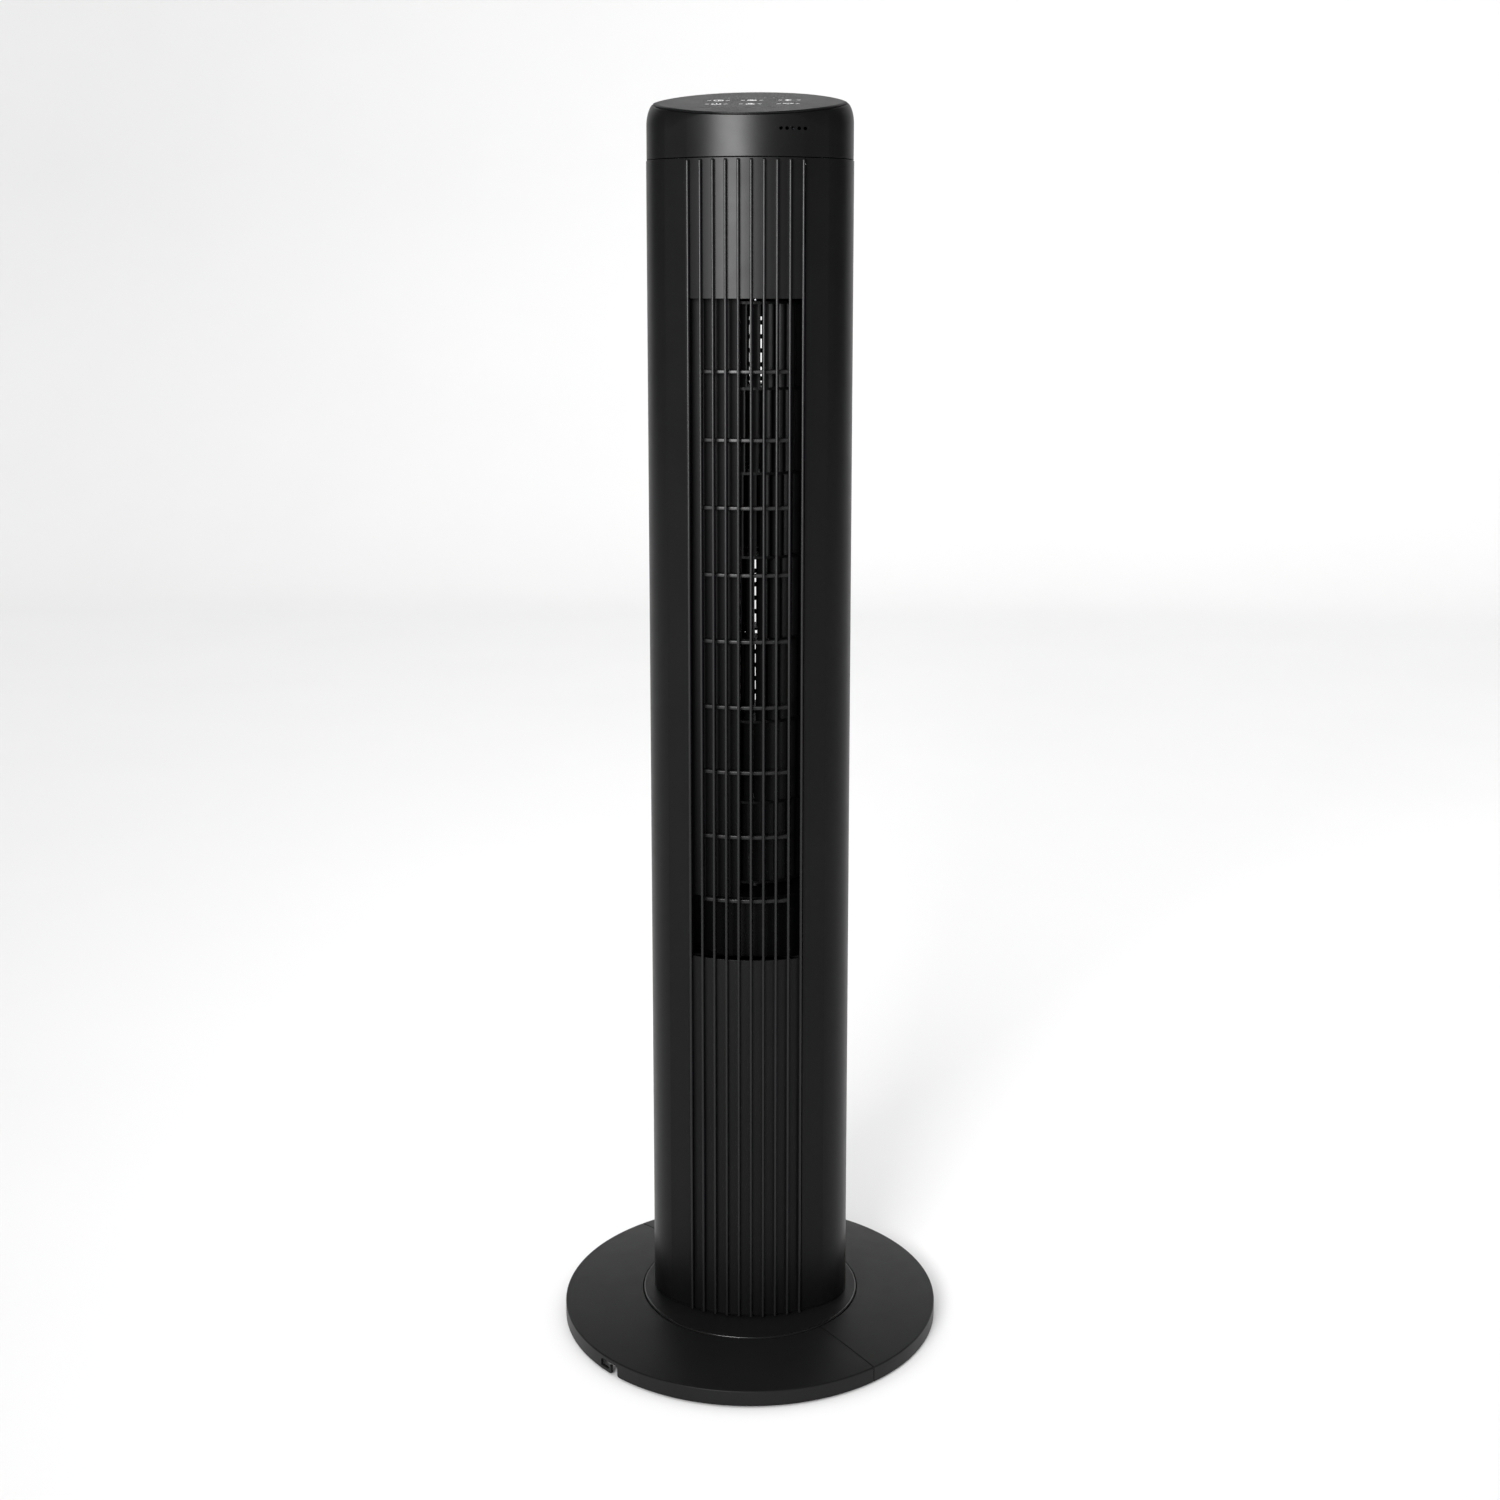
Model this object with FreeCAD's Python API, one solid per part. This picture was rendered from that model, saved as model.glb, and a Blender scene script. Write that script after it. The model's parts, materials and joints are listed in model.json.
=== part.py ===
import FreeCAD, Part
import math
import os

# Oscillating tower fan. Units are millimetres, +Z is up and the air leaves towards -Y.
# The origin is on the floor, under the upright axis that the tower swings about.

# ---------------------------------------------------------------- base
FEET_HEIGHT = 1.5          # rubber pads between the floor and the rim
BASE_RADIUS = 155.0
BASE_WALL = 2.5
RIM_TOP = 14.2             # where the rim's outer face ends and the top skin begins
RIM_ROUND = 1.4
TOP_INNER_HEIGHT = 20.5    # top skin beside the turntable
WELL_RADIUS = 90.0         # round well that the turntable sits in
DECK_TOP = 11.5            # floor of the well
DECK_BOTTOM = 9.0
DECK_INNER_RADIUS = 34.0
SEAM_ANGLE = 43.0          # joint between the two halves, measured from the front towards +X
SEAM_GAP = 0.3
RIB_COUNT = 7
RIB_THICKNESS = 2.0
FOOT_RADIUS = 9.0
FOOT_CIRCLE = 138.0
FOOT_BEARINGS = (-150.0, -108.0, -30.0)   # on one half, clear of its notch

# cord notch in the rim, with the hook that holds the cord
NOTCH_BEARING = -85.3      # on one half, before it is turned to its seam
NOTCH_WIDTH = 20.0
NOTCH_TOP = 10.6
NOTCH_ROUND = 2.4
HOOK_LENGTH = 12.5
HOOK_THICKNESS = 3.2
HOOK_TIP_WIDTH = 2.6
HOOK_TIP_TOP = 8.5

# centre plate that joins the halves and carries the fixed gear
PLATE_RADIUS = 82.0
PLATE_BOTTOM = 6.0
PLATE_BORE = 20.1
JOINING_CIRCLE = 66.0
JOINING_SCREWS = 8

# swing drive: a pinion on the tower rolls round the fixed gear
GEAR_MODULE = 1.0
GEAR_TEETH = 60
PINION_TEETH = 15
GEAR_THICKNESS = 6.5
GEAR_BORE = 22.5
GEAR_BACKLASH = 0.35       # added to the distance between the two axes
PINION_BOTTOM = 12.0
PINION_HEIGHT = 4.0
PINION_SHAFT_RADIUS = 2.5

# glide ring that the turntable rests on
GLIDE_INNER = 74.0
GLIDE_OUTER = 82.0

# ---------------------------------------------------------------- turntable
TURNTABLE_RADIUS = 89.4
TURNTABLE_BOTTOM = 18.0
TURNTABLE_TOP = 21.5
TURNTABLE_CHAMFER = 1.0
PLINTH_INSET = 3.5         # shadow gap under the tower
TUBE_OUTER = 20.0
TUBE_INNER = 15.0
TUBE_BOTTOM = 5.9
RETAINER_RADIUS = 27.0
RETAINER_THICKNESS = 2.6

# ---------------------------------------------------------------- tower shell
TOWER_BOTTOM = 23.0
HALF_WIDTH = 80.5
HALF_DEPTH = 57.0
PANEL_HALF = 45.0          # half width of the ribbed front between the two flat facets
PANEL_EDGE_DEPTH = 46.4
FACET_HALF = 62.3
FACET_EDGE_DEPTH = 36.6
WALL = 2.5
SEAM_HEIGHT = 949.5        # joint between the tower and its cap
SHADOW_GAP = 0.3           # half of a visible joint
OPENING_BOTTOM = 325.0
OPENING_TOP = 844.7
JAMB_DEPTH = 10.0
TIE_HEIGHTS = (24.0, 160.0, 298.0, 856.0, 925.0)   # cross ties behind the front panels
TIE_WIDTH = 18.0
BOSS_RADIUS = 4.0
BOSS_HALF_SPACING = 64.0
BOSS_HEIGHTS = (60.0, 300.0, 590.0, 900.0)
BOSS_SPLIT = 8.0           # where the front and rear bosses meet

# front fins and the bars behind them
FIN_COUNT = 10
FIN_PITCH = 9.74
FIN_WIDTH = 2.0
FIN_PROUD = 4.2
FIN_DEPTH = 8.0            # behind the panel's face, only across the opening
FIN_END_GAP = 1.2
BAR_COUNT = 9
BAR_TOP = 789.6
BAR_PITCH = 52.17
BAR_HEIGHT = 3.0
BAR_DEPTH = 4.0
RAIL_HEIGHT = 4.0

# rear intake
INTAKE_HALF = 52.0
INTAKE_BOTTOM = 384.0
INTAKE_TOP = 836.0
INTAKE_ROWS = 40
INTAKE_COLUMNS = 5
SLAT_HEIGHT = 3.8
MULLION_WIDTH = 4.0
INTAKE_FRAME = 4.6
LIP_REACH = 2.6
LIP_THICKNESS = 1.5

# ---------------------------------------------------------------- cap
PANEL_FRONT_HEIGHT = 981.6     # sloping control panel at the front edge
PANEL_REAR_HEIGHT = 1006.4
CONTROL_THICKNESS = 1.2
CONTROL_GAP = 0.4
FACE_ARC_RADIUS = 74.9         # the panel's face is a lens between two arcs that meet at its ends
FACE_ARC_SHIFT = 18.3
ROLL_WIDTH = 13.0              # the cap's skin rolls over to the face's edge
ROLL_HEIGHT = 18.0
ROLL_FLARE = 0.35
VENT_COUNT = 5
VENT_PITCH = 4.45
VENT_FIRST_X = 26.8
VENT_HEIGHT = 970.4
VENT_RADIUS = 1.35
TOUCH_COLUMNS = (-25.0, 1.0, 30.0)
TOUCH_ROWS = (-12.0, 9.0)
CONTROL_BOARD_DROP = 7.0       # from the underside of the panel to the board under it

# ---------------------------------------------------------------- air path
AXIS_X = 4.0               # upright axis of the cross-flow wheel
AXIS_Y = 4.0
WHEEL_RADIUS = 40.0
BLADE_INNER = 31.5
BLADE_COUNT = 24
BLADE_THICKNESS = 1.0
BLADE_LEAN = 10.0          # degrees that a blade leans forward from root to tip
SEGMENTS = 7
SEGMENT_PITCH = 65.5
WHEEL_BOTTOM = 382.0
DISC_THICKNESS = 2.0
DISC_BORE = 12.0
BULKHEAD_TOP = 372.0
BULKHEAD_THICKNESS = 2.5
COWL_RADIUS = 44.0         # curved wall in front of the motor
CEILING_BOTTOM = 846.0
CEILING_THICKNESS = 2.5
GUIDE_THICKNESS = 1.8
SHIELD_TIP_X = -6.0        # end of the wall that covers the left half of the wheel
SHIELD_TIP_Y = -41.5

# ---------------------------------------------------------------- motors
SHAFT_RADIUS = 4.0
SHAFT_BOTTOM = 308.0
SHAFT_TOP = 380.0
STUB_RADIUS = 3.0
CAN_RADIUS = 37.0
CAN_BOTTOM = 316.0
CAN_TOP = 360.0
CAN_WALL = 1.5
ROTOR_RADIUS = 19.5
STATOR_INNER = 20.0
STATOR_OUTER = 35.0
SWING_MOTOR_RADIUS = 19.0
SWING_MOTOR_HEIGHT = 17.0
MOUNT_BEARINGS = (20.0, 100.0, 160.0)

# ---------------------------------------------------------------- power board and wiring
BOARD_Y = 22.0
BOARD_THICKNESS = 1.6
BOARD_HALF_WIDTH = 38.0
BOARD_BOTTOM = 90.0
BOARD_TOP = 200.0
WIRE_X = -73.0
WIRE_Y = 4.2
WIRE_RADIUS = 2.6
WIRE_CLIP_HEIGHTS = (240.0, 420.0, 600.0, 780.0, 920.0)

UP = FreeCAD.Vector(0, 0, 1)
ORIGIN = FreeCAD.Vector(0, 0, 0)
BACK = FreeCAD.Vector(0, 1, 0)


# ---------------------------------------------------------------- helpers
def vec(x, y, z=0.0):
    return FreeCAD.Vector(x, y, z)


def save(name, shape):
    """Write one sub-part as its own STEP file."""
    shape = shape.removeSplitter()
    shape.exportStep("parts/" + name + ".step")


def cylinder(radius, bottom, top, x=0.0, y=0.0):
    return Part.makeCylinder(radius, top - bottom, vec(x, y, bottom))


def tube(inner, outer, bottom, top, x=0.0, y=0.0):
    return cylinder(outer, bottom, top, x, y).cut(cylinder(inner, bottom - 1, top + 1, x, y))


def block(x0, x1, y0, y1, z0, z1):
    return Part.makeBox(x1 - x0, y1 - y0, z1 - z0, vec(x0, y0, z0))


def polar(radius, degrees, z=0.0):
    """A point at a bearing measured from +X towards +Y."""
    angle = math.radians(degrees)
    return vec(radius * math.cos(angle), radius * math.sin(angle), z)


def turned(shape, degrees, centre=ORIGIN):
    copy = shape.copy()
    copy.rotate(centre, UP, degrees)
    return copy


def fused(shapes):
    return shapes[0].multiFuse(shapes[1:])


def polygon(points):
    return Part.Face(Part.makePolygon(points + [points[0]]))


def arc(start, middle, end):
    return Part.Arc(start, middle, end).toShape()


def line(start, end):
    return Part.makeLine(start, end)


def screw(head_radius, head_height, shank_radius, length):
    """A cross-head screw with its head at the origin and its shank along -Z."""
    body = cylinder(head_radius, 0, head_height).fuse(cylinder(shank_radius, -length, 0))
    reach = head_radius * 0.6
    half = head_radius * 0.13
    slot_floor = head_height * 0.5
    body = body.cut(block(-reach, reach, -half, half, slot_floor, head_height + 1))
    return body.cut(block(-half, half, -reach, reach, slot_floor, head_height + 1))


def placed(shape, position, axis=UP):
    """A copy of a shape made along +Z, moved to a position and aimed along an axis."""
    copy = shape.copy()
    copy.Placement = FreeCAD.Placement(position, FreeCAD.Rotation(UP, axis))
    return copy


# ---------------------------------------------------------------- tower section
def front_depth(x):
    """How far in front of the swing axis the ribbed front's face is at a given x."""
    sagitta = HALF_DEPTH - PANEL_EDGE_DEPTH
    radius = (PANEL_HALF ** 2 + sagitta ** 2) / (2 * sagitta)
    return HALF_DEPTH - radius + math.sqrt(radius ** 2 - x ** 2)


def section_wire():
    """The tower's outline: curved front, two flat facets, rounded sides and a curved back."""
    panel_left = vec(-PANEL_HALF, -PANEL_EDGE_DEPTH)
    panel_right = vec(PANEL_HALF, -PANEL_EDGE_DEPTH)
    front_left = vec(-FACET_HALF, -FACET_EDGE_DEPTH)
    front_right = vec(FACET_HALF, -FACET_EDGE_DEPTH)
    rear_left = vec(-FACET_HALF, FACET_EDGE_DEPTH)
    rear_right = vec(FACET_HALF, FACET_EDGE_DEPTH)
    edges = [
        arc(panel_left, vec(0, -HALF_DEPTH), panel_right),
        line(panel_right, front_right),
        arc(front_right, vec(HALF_WIDTH, 0), rear_right),
        arc(rear_right, vec(0, HALF_DEPTH), rear_left),
        arc(rear_left, vec(-HALF_WIDTH, 0), front_left),
        line(front_left, panel_left),
    ]
    return Part.Wire(edges)


def section_solid(inset, bottom, top):
    """The tower's section, shrunk by an inset and raised between two heights."""
    wire = section_wire()
    if inset:
        wire = wire.makeOffset2D(-inset, join=2)
    face = Part.Face(wire)
    face.translate(vec(0, 0, bottom))
    return face.extrude(vec(0, 0, top - bottom))


def section_shell(inset, thickness, bottom, top):
    outer = section_solid(inset, bottom, top)
    return outer.cut(section_solid(inset + thickness, bottom - 1, top + 1))


# ---------------------------------------------------------------- base pieces
def base_profile():
    """Half section of the base: rim, domed top skin, well wall and deck."""
    rim_corner = vec(BASE_RADIUS, 0, RIM_TOP - RIM_ROUND)
    top_corner = vec(BASE_RADIUS - RIM_ROUND, 0, RIM_TOP)
    shift = RIM_ROUND * (1 - math.sqrt(0.5))
    rounding = vec(BASE_RADIUS - shift, 0, RIM_TOP - shift)
    skin_inner = vec(WELL_RADIUS, 0, TOP_INNER_HEIGHT)
    middle_radius = (BASE_RADIUS + WELL_RADIUS) / 2
    crown = vec(middle_radius, 0, (RIM_TOP + TOP_INNER_HEIGHT) / 2 + 0.5)
    under_rim = vec(BASE_RADIUS - BASE_WALL, 0, RIM_TOP - BASE_WALL)
    under_well = vec(WELL_RADIUS + BASE_WALL, 0, TOP_INNER_HEIGHT - BASE_WALL)
    points = [
        skin_inner,
        vec(WELL_RADIUS, 0, DECK_TOP),
        vec(DECK_INNER_RADIUS, 0, DECK_TOP),
        vec(DECK_INNER_RADIUS, 0, DECK_BOTTOM),
        vec(WELL_RADIUS + BASE_WALL, 0, DECK_BOTTOM),
        under_well,
        under_rim,
        vec(BASE_RADIUS - BASE_WALL, 0, FEET_HEIGHT),
        vec(BASE_RADIUS, 0, FEET_HEIGHT),
        rim_corner,
    ]
    edges = [line(a, b) for a, b in zip(points, points[1:])]
    edges.append(arc(rim_corner, rounding, top_corner))
    edges.append(arc(top_corner, crown, skin_inner))
    return Part.Face(Part.Wire(edges))


def notch_outline():
    """Cord notch in the rim, drawn along the rim and up it, before it is aimed."""
    left = -NOTCH_WIDTH / 2
    right = NOTCH_WIDTH / 2
    low = FEET_HEIGHT - 1
    corner = NOTCH_ROUND * (1 - math.sqrt(0.5))
    edges = [
        line(vec(left, 0, low), vec(left, 0, NOTCH_TOP - NOTCH_ROUND)),
        arc(vec(left, 0, NOTCH_TOP - NOTCH_ROUND), vec(left + corner, 0, NOTCH_TOP - corner),
            vec(left + NOTCH_ROUND, 0, NOTCH_TOP)),
        line(vec(left + NOTCH_ROUND, 0, NOTCH_TOP), vec(right - NOTCH_ROUND, 0, NOTCH_TOP)),
        arc(vec(right - NOTCH_ROUND, 0, NOTCH_TOP), vec(right - corner, 0, NOTCH_TOP - corner),
            vec(right, 0, NOTCH_TOP - NOTCH_ROUND)),
        line(vec(right, 0, NOTCH_TOP - NOTCH_ROUND), vec(right, 0, low)),
        line(vec(right, 0, low), vec(left, 0, low)),
    ]
    return Part.Face(Part.Wire(edges))


def hook_outline():
    """J-shaped finger along the foot of the notch, with a turned-up round tip."""
    root = -NOTCH_WIDTH / 2 - 1
    tip = -NOTCH_WIDTH / 2 + HOOK_LENGTH
    finger_top = FEET_HEIGHT + HOOK_THICKNESS
    tip_radius = HOOK_TIP_WIDTH / 2
    tip_base = HOOK_TIP_TOP - tip_radius
    inside = tip - HOOK_TIP_WIDTH
    foot_end = vec(tip - tip_radius, 0, FEET_HEIGHT)
    heel = vec(tip - 0.35 * tip_radius, 0, FEET_HEIGHT + 0.35 * tip_radius)
    outer_low = vec(tip, 0, FEET_HEIGHT + tip_radius)
    outer_high = vec(tip, 0, tip_base)
    crown = vec(tip - tip_radius, 0, HOOK_TIP_TOP)
    inner_high = vec(inside, 0, tip_base)
    inner_low = vec(inside, 0, finger_top)
    edges = [
        line(vec(root, 0, FEET_HEIGHT), foot_end),
        arc(foot_end, heel, outer_low),
        line(outer_low, outer_high),
        arc(outer_high, crown, inner_high),
        line(inner_high, inner_low),
        line(inner_low, vec(root, 0, finger_top)),
        line(vec(root, 0, finger_top), vec(root, 0, FEET_HEIGHT)),
    ]
    return Part.Face(Part.Wire(edges))


def base_half():
    """One of the two equal base mouldings, centred on the -Y side of its seam."""
    profile = base_profile()
    profile.rotate(ORIGIN, UP, -180)
    half = profile.revolve(ORIGIN, UP, 180)
    room = base_cavity()
    ribs = []
    for i in range(RIB_COUNT):
        bearing = -180 + 180 * (i + 0.5) / RIB_COUNT
        rib = block(WELL_RADIUS, BASE_RADIUS, -RIB_THICKNESS / 2, RIB_THICKNESS / 2,
                    FEET_HEIGHT + 1.5, RIM_TOP + 8)
        ribs.append(turned(rib, bearing))
    for bearing in FOOT_BEARINGS:
        centre = polar(FOOT_CIRCLE, bearing)
        ribs.append(cylinder(FOOT_RADIUS, FEET_HEIGHT, RIM_TOP + 8, centre.x, centre.y))
    half = fused([half] + [rib.common(room) for rib in ribs])
    notch = notch_outline().extrude(vec(0, 2 * BASE_WALL + 6, 0))
    notch.translate(vec(0, -BASE_RADIUS - 1, 0))
    half = half.cut(turned(notch, NOTCH_BEARING + 90))
    hook = hook_outline().extrude(vec(0, BASE_RADIUS, 0))
    hook.translate(vec(0, -BASE_RADIUS - 1, 0))
    hook = turned(hook, NOTCH_BEARING + 90)
    rim = tube(BASE_RADIUS - BASE_WALL, BASE_RADIUS, 0, RIM_TOP)
    half = half.fuse(hook.common(rim))
    reach = BASE_RADIUS + 1
    half = half.cut(block(-reach, reach, -SEAM_GAP / 2, reach, -1, RIM_TOP + 20))
    for bearing in FOOT_BEARINGS:
        centre = polar(FOOT_CIRCLE, bearing)
        half = half.cut(cylinder(FOOT_RADIUS / 2 + 0.1, FEET_HEIGHT - 1, FEET_HEIGHT + 4.1,
                                 centre.x, centre.y))
    for bearing in joining_bearings():
        centre = polar(JOINING_CIRCLE, bearing)
        half = half.cut(cylinder(1.5, DECK_BOTTOM - 1, DECK_TOP + 1, centre.x, centre.y))
    return half


def base_cavity():
    """Room under the top skin that the ribs and foot bosses may fill."""
    points = [
        vec(WELL_RADIUS + BASE_WALL / 2, 0, FEET_HEIGHT),
        vec(BASE_RADIUS - BASE_WALL / 2, 0, FEET_HEIGHT),
        vec(BASE_RADIUS - BASE_WALL / 2, 0, RIM_TOP - BASE_WALL / 2),
        vec(WELL_RADIUS + BASE_WALL / 2, 0, TOP_INNER_HEIGHT - BASE_WALL / 2),
    ]
    return polygon(points).revolve(ORIGIN, UP, 360)


def joining_bearings():
    """Bearings of one half's share of the joining screws."""
    share = JOINING_SCREWS // 2
    return [-180 + 180 * (i + 0.5) / share for i in range(share)]


def make_base_halves():
    front = turned(base_half(), SEAM_ANGLE - 90)
    save("base_front_half", front)
    save("base_rear_half", turned(front, 180))


def make_feet():
    pads = []
    for half_turn in (0, 180):
        for bearing in FOOT_BEARINGS:
            centre = polar(FOOT_CIRCLE, bearing + SEAM_ANGLE - 90 + half_turn)
            pad = cylinder(FOOT_RADIUS, 0, FEET_HEIGHT, centre.x, centre.y)
            peg = cylinder(FOOT_RADIUS / 2, FEET_HEIGHT, FEET_HEIGHT + 4, centre.x, centre.y)
            pads.append(pad.fuse(peg))
    save("rubber_feet", Part.makeCompound(pads))


def make_centre_plate():
    plate = tube(PLATE_BORE, PLATE_RADIUS, PLATE_BOTTOM, DECK_BOTTOM)
    screws = []
    shape = screw(3.2, 1.8, 1.5, 5.0)
    for half_turn in (0, 180):
        for bearing in joining_bearings():
            centre = polar(JOINING_CIRCLE, bearing + SEAM_ANGLE - 90 + half_turn)
            plate = plate.cut(cylinder(1.5, PLATE_BOTTOM - 1, DECK_BOTTOM + 1, centre.x, centre.y))
            screws.append(placed(shape, vec(centre.x, centre.y, PLATE_BOTTOM), vec(0, 0, -1)))
    save("centre_plate", plate)
    save("joining_screws", Part.makeCompound(screws))


def gear(teeth, bore, bottom, height, phase=0.0):
    """A spur gear with straight-sided teeth, so that its outline stays light."""
    pitch_radius = GEAR_MODULE * teeth / 2
    tip = pitch_radius + GEAR_MODULE
    root = pitch_radius - 1.25 * GEAR_MODULE
    step = 360.0 / teeth
    points = []
    for i in range(teeth):
        middle = i * step + phase
        points.append(polar(root, middle - 0.36 * step))
        points.append(polar(tip, middle - 0.13 * step))
        points.append(polar(tip, middle + 0.13 * step))
        points.append(polar(root, middle + 0.36 * step))
    blank = polygon(points).extrude(vec(0, 0, height))
    blank = blank.cut(cylinder(bore, -1, height + 1))
    blank.translate(vec(0, 0, bottom))
    return blank


def pinion_distance():
    return GEAR_MODULE * (GEAR_TEETH + PINION_TEETH) / 2 + GEAR_BACKLASH


def make_swing_gears():
    fixed = gear(GEAR_TEETH, GEAR_BORE, DECK_BOTTOM, GEAR_THICKNESS, 90.0)
    for i in range(3):
        centre = polar(25.5, 30 + 120 * i)
        fixed = fixed.cut(cylinder(1.3, DECK_BOTTOM - 1, DECK_BOTTOM + GEAR_THICKNESS + 1,
                                   centre.x, centre.y))
    save("fixed_gear", fixed)
    pinion_phase = -90 + 180.0 / PINION_TEETH
    pinion = gear(PINION_TEETH, PINION_SHAFT_RADIUS, PINION_BOTTOM, PINION_HEIGHT, pinion_phase)
    pinion.translate(vec(0, pinion_distance(), 0))
    save("swing_pinion", pinion)
    shaft = cylinder(PINION_SHAFT_RADIUS, PINION_BOTTOM, TOWER_BOTTOM + 1.5, 0, pinion_distance())
    save("pinion_shaft", shaft)


def make_glide_ring():
    save("glide_ring", tube(GLIDE_INNER, GLIDE_OUTER, DECK_TOP, TURNTABLE_BOTTOM))


# ---------------------------------------------------------------- turntable pieces
def floor_screw_points():
    return [vec(x, y) for x in (-50.0, 50.0) for y in (-26.0, 26.0)]


def make_turntable():
    disc = cylinder(TURNTABLE_RADIUS, TURNTABLE_BOTTOM, TURNTABLE_TOP)
    cone_bottom = TURNTABLE_TOP - TURNTABLE_CHAMFER
    cone = Part.makeCone(TURNTABLE_RADIUS, TURNTABLE_RADIUS - TURNTABLE_CHAMFER, TURNTABLE_CHAMFER,
                         vec(0, 0, cone_bottom))
    disc = cylinder(TURNTABLE_RADIUS, TURNTABLE_BOTTOM, cone_bottom).fuse(cone.common(disc))
    plinth = section_solid(PLINTH_INSET, TURNTABLE_TOP, TOWER_BOTTOM)
    neck = cylinder(TUBE_OUTER, TUBE_BOTTOM, TURNTABLE_BOTTOM)
    table = fused([disc, plinth, neck])
    table = table.cut(cylinder(TUBE_INNER, TUBE_BOTTOM - 1, TOWER_BOTTOM + 1))
    table = table.cut(cylinder(PINION_SHAFT_RADIUS + 1.0, TURNTABLE_BOTTOM - 1, TOWER_BOTTOM + 1,
                               0, pinion_distance()))
    for point in floor_screw_points():
        table = table.cut(cylinder(1.6, TURNTABLE_BOTTOM - 1, TOWER_BOTTOM + 1, point.x, point.y))
    for i in range(3):
        centre = polar(17.5, 90 + 120 * i)
        table = table.cut(cylinder(1.2, TUBE_BOTTOM - 1, TUBE_BOTTOM + 6, centre.x, centre.y))
    save("turntable", table)


def make_tower_screws():
    shape = screw(3.0, 1.6, 1.5, 14.0)
    screws = [placed(shape, vec(p.x, p.y, TURNTABLE_BOTTOM), vec(0, 0, -1)) for p in floor_screw_points()]
    save("tower_screws", Part.makeCompound(screws))


def make_retainer():
    bottom = TUBE_BOTTOM - RETAINER_THICKNESS
    ring = tube(TUBE_INNER, RETAINER_RADIUS, bottom, TUBE_BOTTOM)
    shape = screw(2.0, 1.2, 1.2, 7.0)
    screws = []
    for i in range(3):
        centre = polar(17.5, 90 + 120 * i)
        ring = ring.cut(cylinder(1.2, bottom - 1, TUBE_BOTTOM + 1, centre.x, centre.y))
        screws.append(placed(shape, vec(centre.x, centre.y, bottom), vec(0, 0, -1)))
    save("pivot_retainer", ring)
    return screws


def make_cord_bushing():
    """Rubber gland in the pivot tube that the mains cord passes through."""
    body = tube(3.6, TUBE_INNER, TUBE_BOTTOM + 2, TUBE_BOTTOM + 10)
    collar = tube(3.6, 7.0, TUBE_BOTTOM + 10, TOWER_BOTTOM + 3)
    save("cord_bushing", body.fuse(collar))


# ---------------------------------------------------------------- tower shells
def side_bosses(y0, y1):
    """Screw bosses that run fore and aft along both sides of the shell."""
    bosses = []
    for z in BOSS_HEIGHTS:
        for x in (-BOSS_HALF_SPACING, BOSS_HALF_SPACING):
            bosses.append(Part.makeCylinder(BOSS_RADIUS, y1 - y0, vec(x, y0, z), BACK))
    return bosses


def make_front_shell():
    top = SEAM_HEIGHT - SHADOW_GAP
    shell = section_shell(0, WALL, TOWER_BOTTOM, top)
    shell = shell.common(block(-HALF_WIDTH - 1, HALF_WIDTH + 1, -HALF_DEPTH - 1, -0.1, TOWER_BOTTOM, top))
    window = block(-PANEL_HALF, PANEL_HALF, -HALF_DEPTH - 1, -PANEL_EDGE_DEPTH + WALL + 5,
                   TOWER_BOTTOM - 1, top + 1)
    shell = shell.cut(window)
    inside = section_solid(WALL / 2, TOWER_BOTTOM, top)
    additions = []
    for x0, x1 in ((-PANEL_HALF - 2, -PANEL_HALF), (PANEL_HALF, PANEL_HALF + 2)):
        jamb = block(x0, x1, -PANEL_EDGE_DEPTH - 1, -PANEL_EDGE_DEPTH + JAMB_DEPTH, TOWER_BOTTOM, top)
        additions.append(jamb.common(inside))
    tie_front = -PANEL_EDGE_DEPTH + JAMB_DEPTH - 4
    for low in TIE_HEIGHTS:
        additions.append(block(-PANEL_HALF - 1, PANEL_HALF + 1, tie_front, tie_front + 2,
                               low, low + TIE_WIDTH))
    additions += [boss.common(inside) for boss in side_bosses(-FACET_EDGE_DEPTH, BOSS_SPLIT)]
    for point in floor_screw_points():
        if point.y < 0:
            additions.append(cylinder(BOSS_RADIUS + 2, TOWER_BOTTOM, TOWER_BOTTOM + 14, point.x, point.y))
            web = block(point.x - 1, point.x + 1, -HALF_DEPTH, point.y, TOWER_BOTTOM, TOWER_BOTTOM + 14)
            additions.append(web.common(inside))
    shell = fused([shell] + additions)
    for point in floor_screw_points():
        shell = shell.cut(cylinder(1.5, TOWER_BOTTOM - 1, TOWER_BOTTOM + 12, point.x, point.y))
    for hole in side_bosses(BOSS_SPLIT - 14, BOSS_SPLIT + 1):
        centre = hole.CenterOfMass
        bore = Part.makeCylinder(1.5, 15, vec(centre.x, BOSS_SPLIT - 14, centre.z), BACK)
        shell = shell.cut(bore)
    save("front_shell", shell)


def rear_slots():
    """The cutting blocks of the rear intake, in rows and columns."""
    row_pitch = (INTAKE_TOP - INTAKE_BOTTOM) / INTAKE_ROWS
    column_pitch = 2 * INTAKE_HALF / INTAKE_COLUMNS
    slots = []
    for row in range(INTAKE_ROWS):
        bottom = INTAKE_BOTTOM + row * row_pitch + SLAT_HEIGHT / 2
        for column in range(INTAKE_COLUMNS):
            left = -INTAKE_HALF + column * column_pitch + MULLION_WIDTH / 2
            right = left + column_pitch - MULLION_WIDTH
            slots.append(block(left, right, 20, HALF_DEPTH + 1, bottom, bottom + row_pitch - SLAT_HEIGHT))
    return Part.makeCompound(slots)


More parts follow.
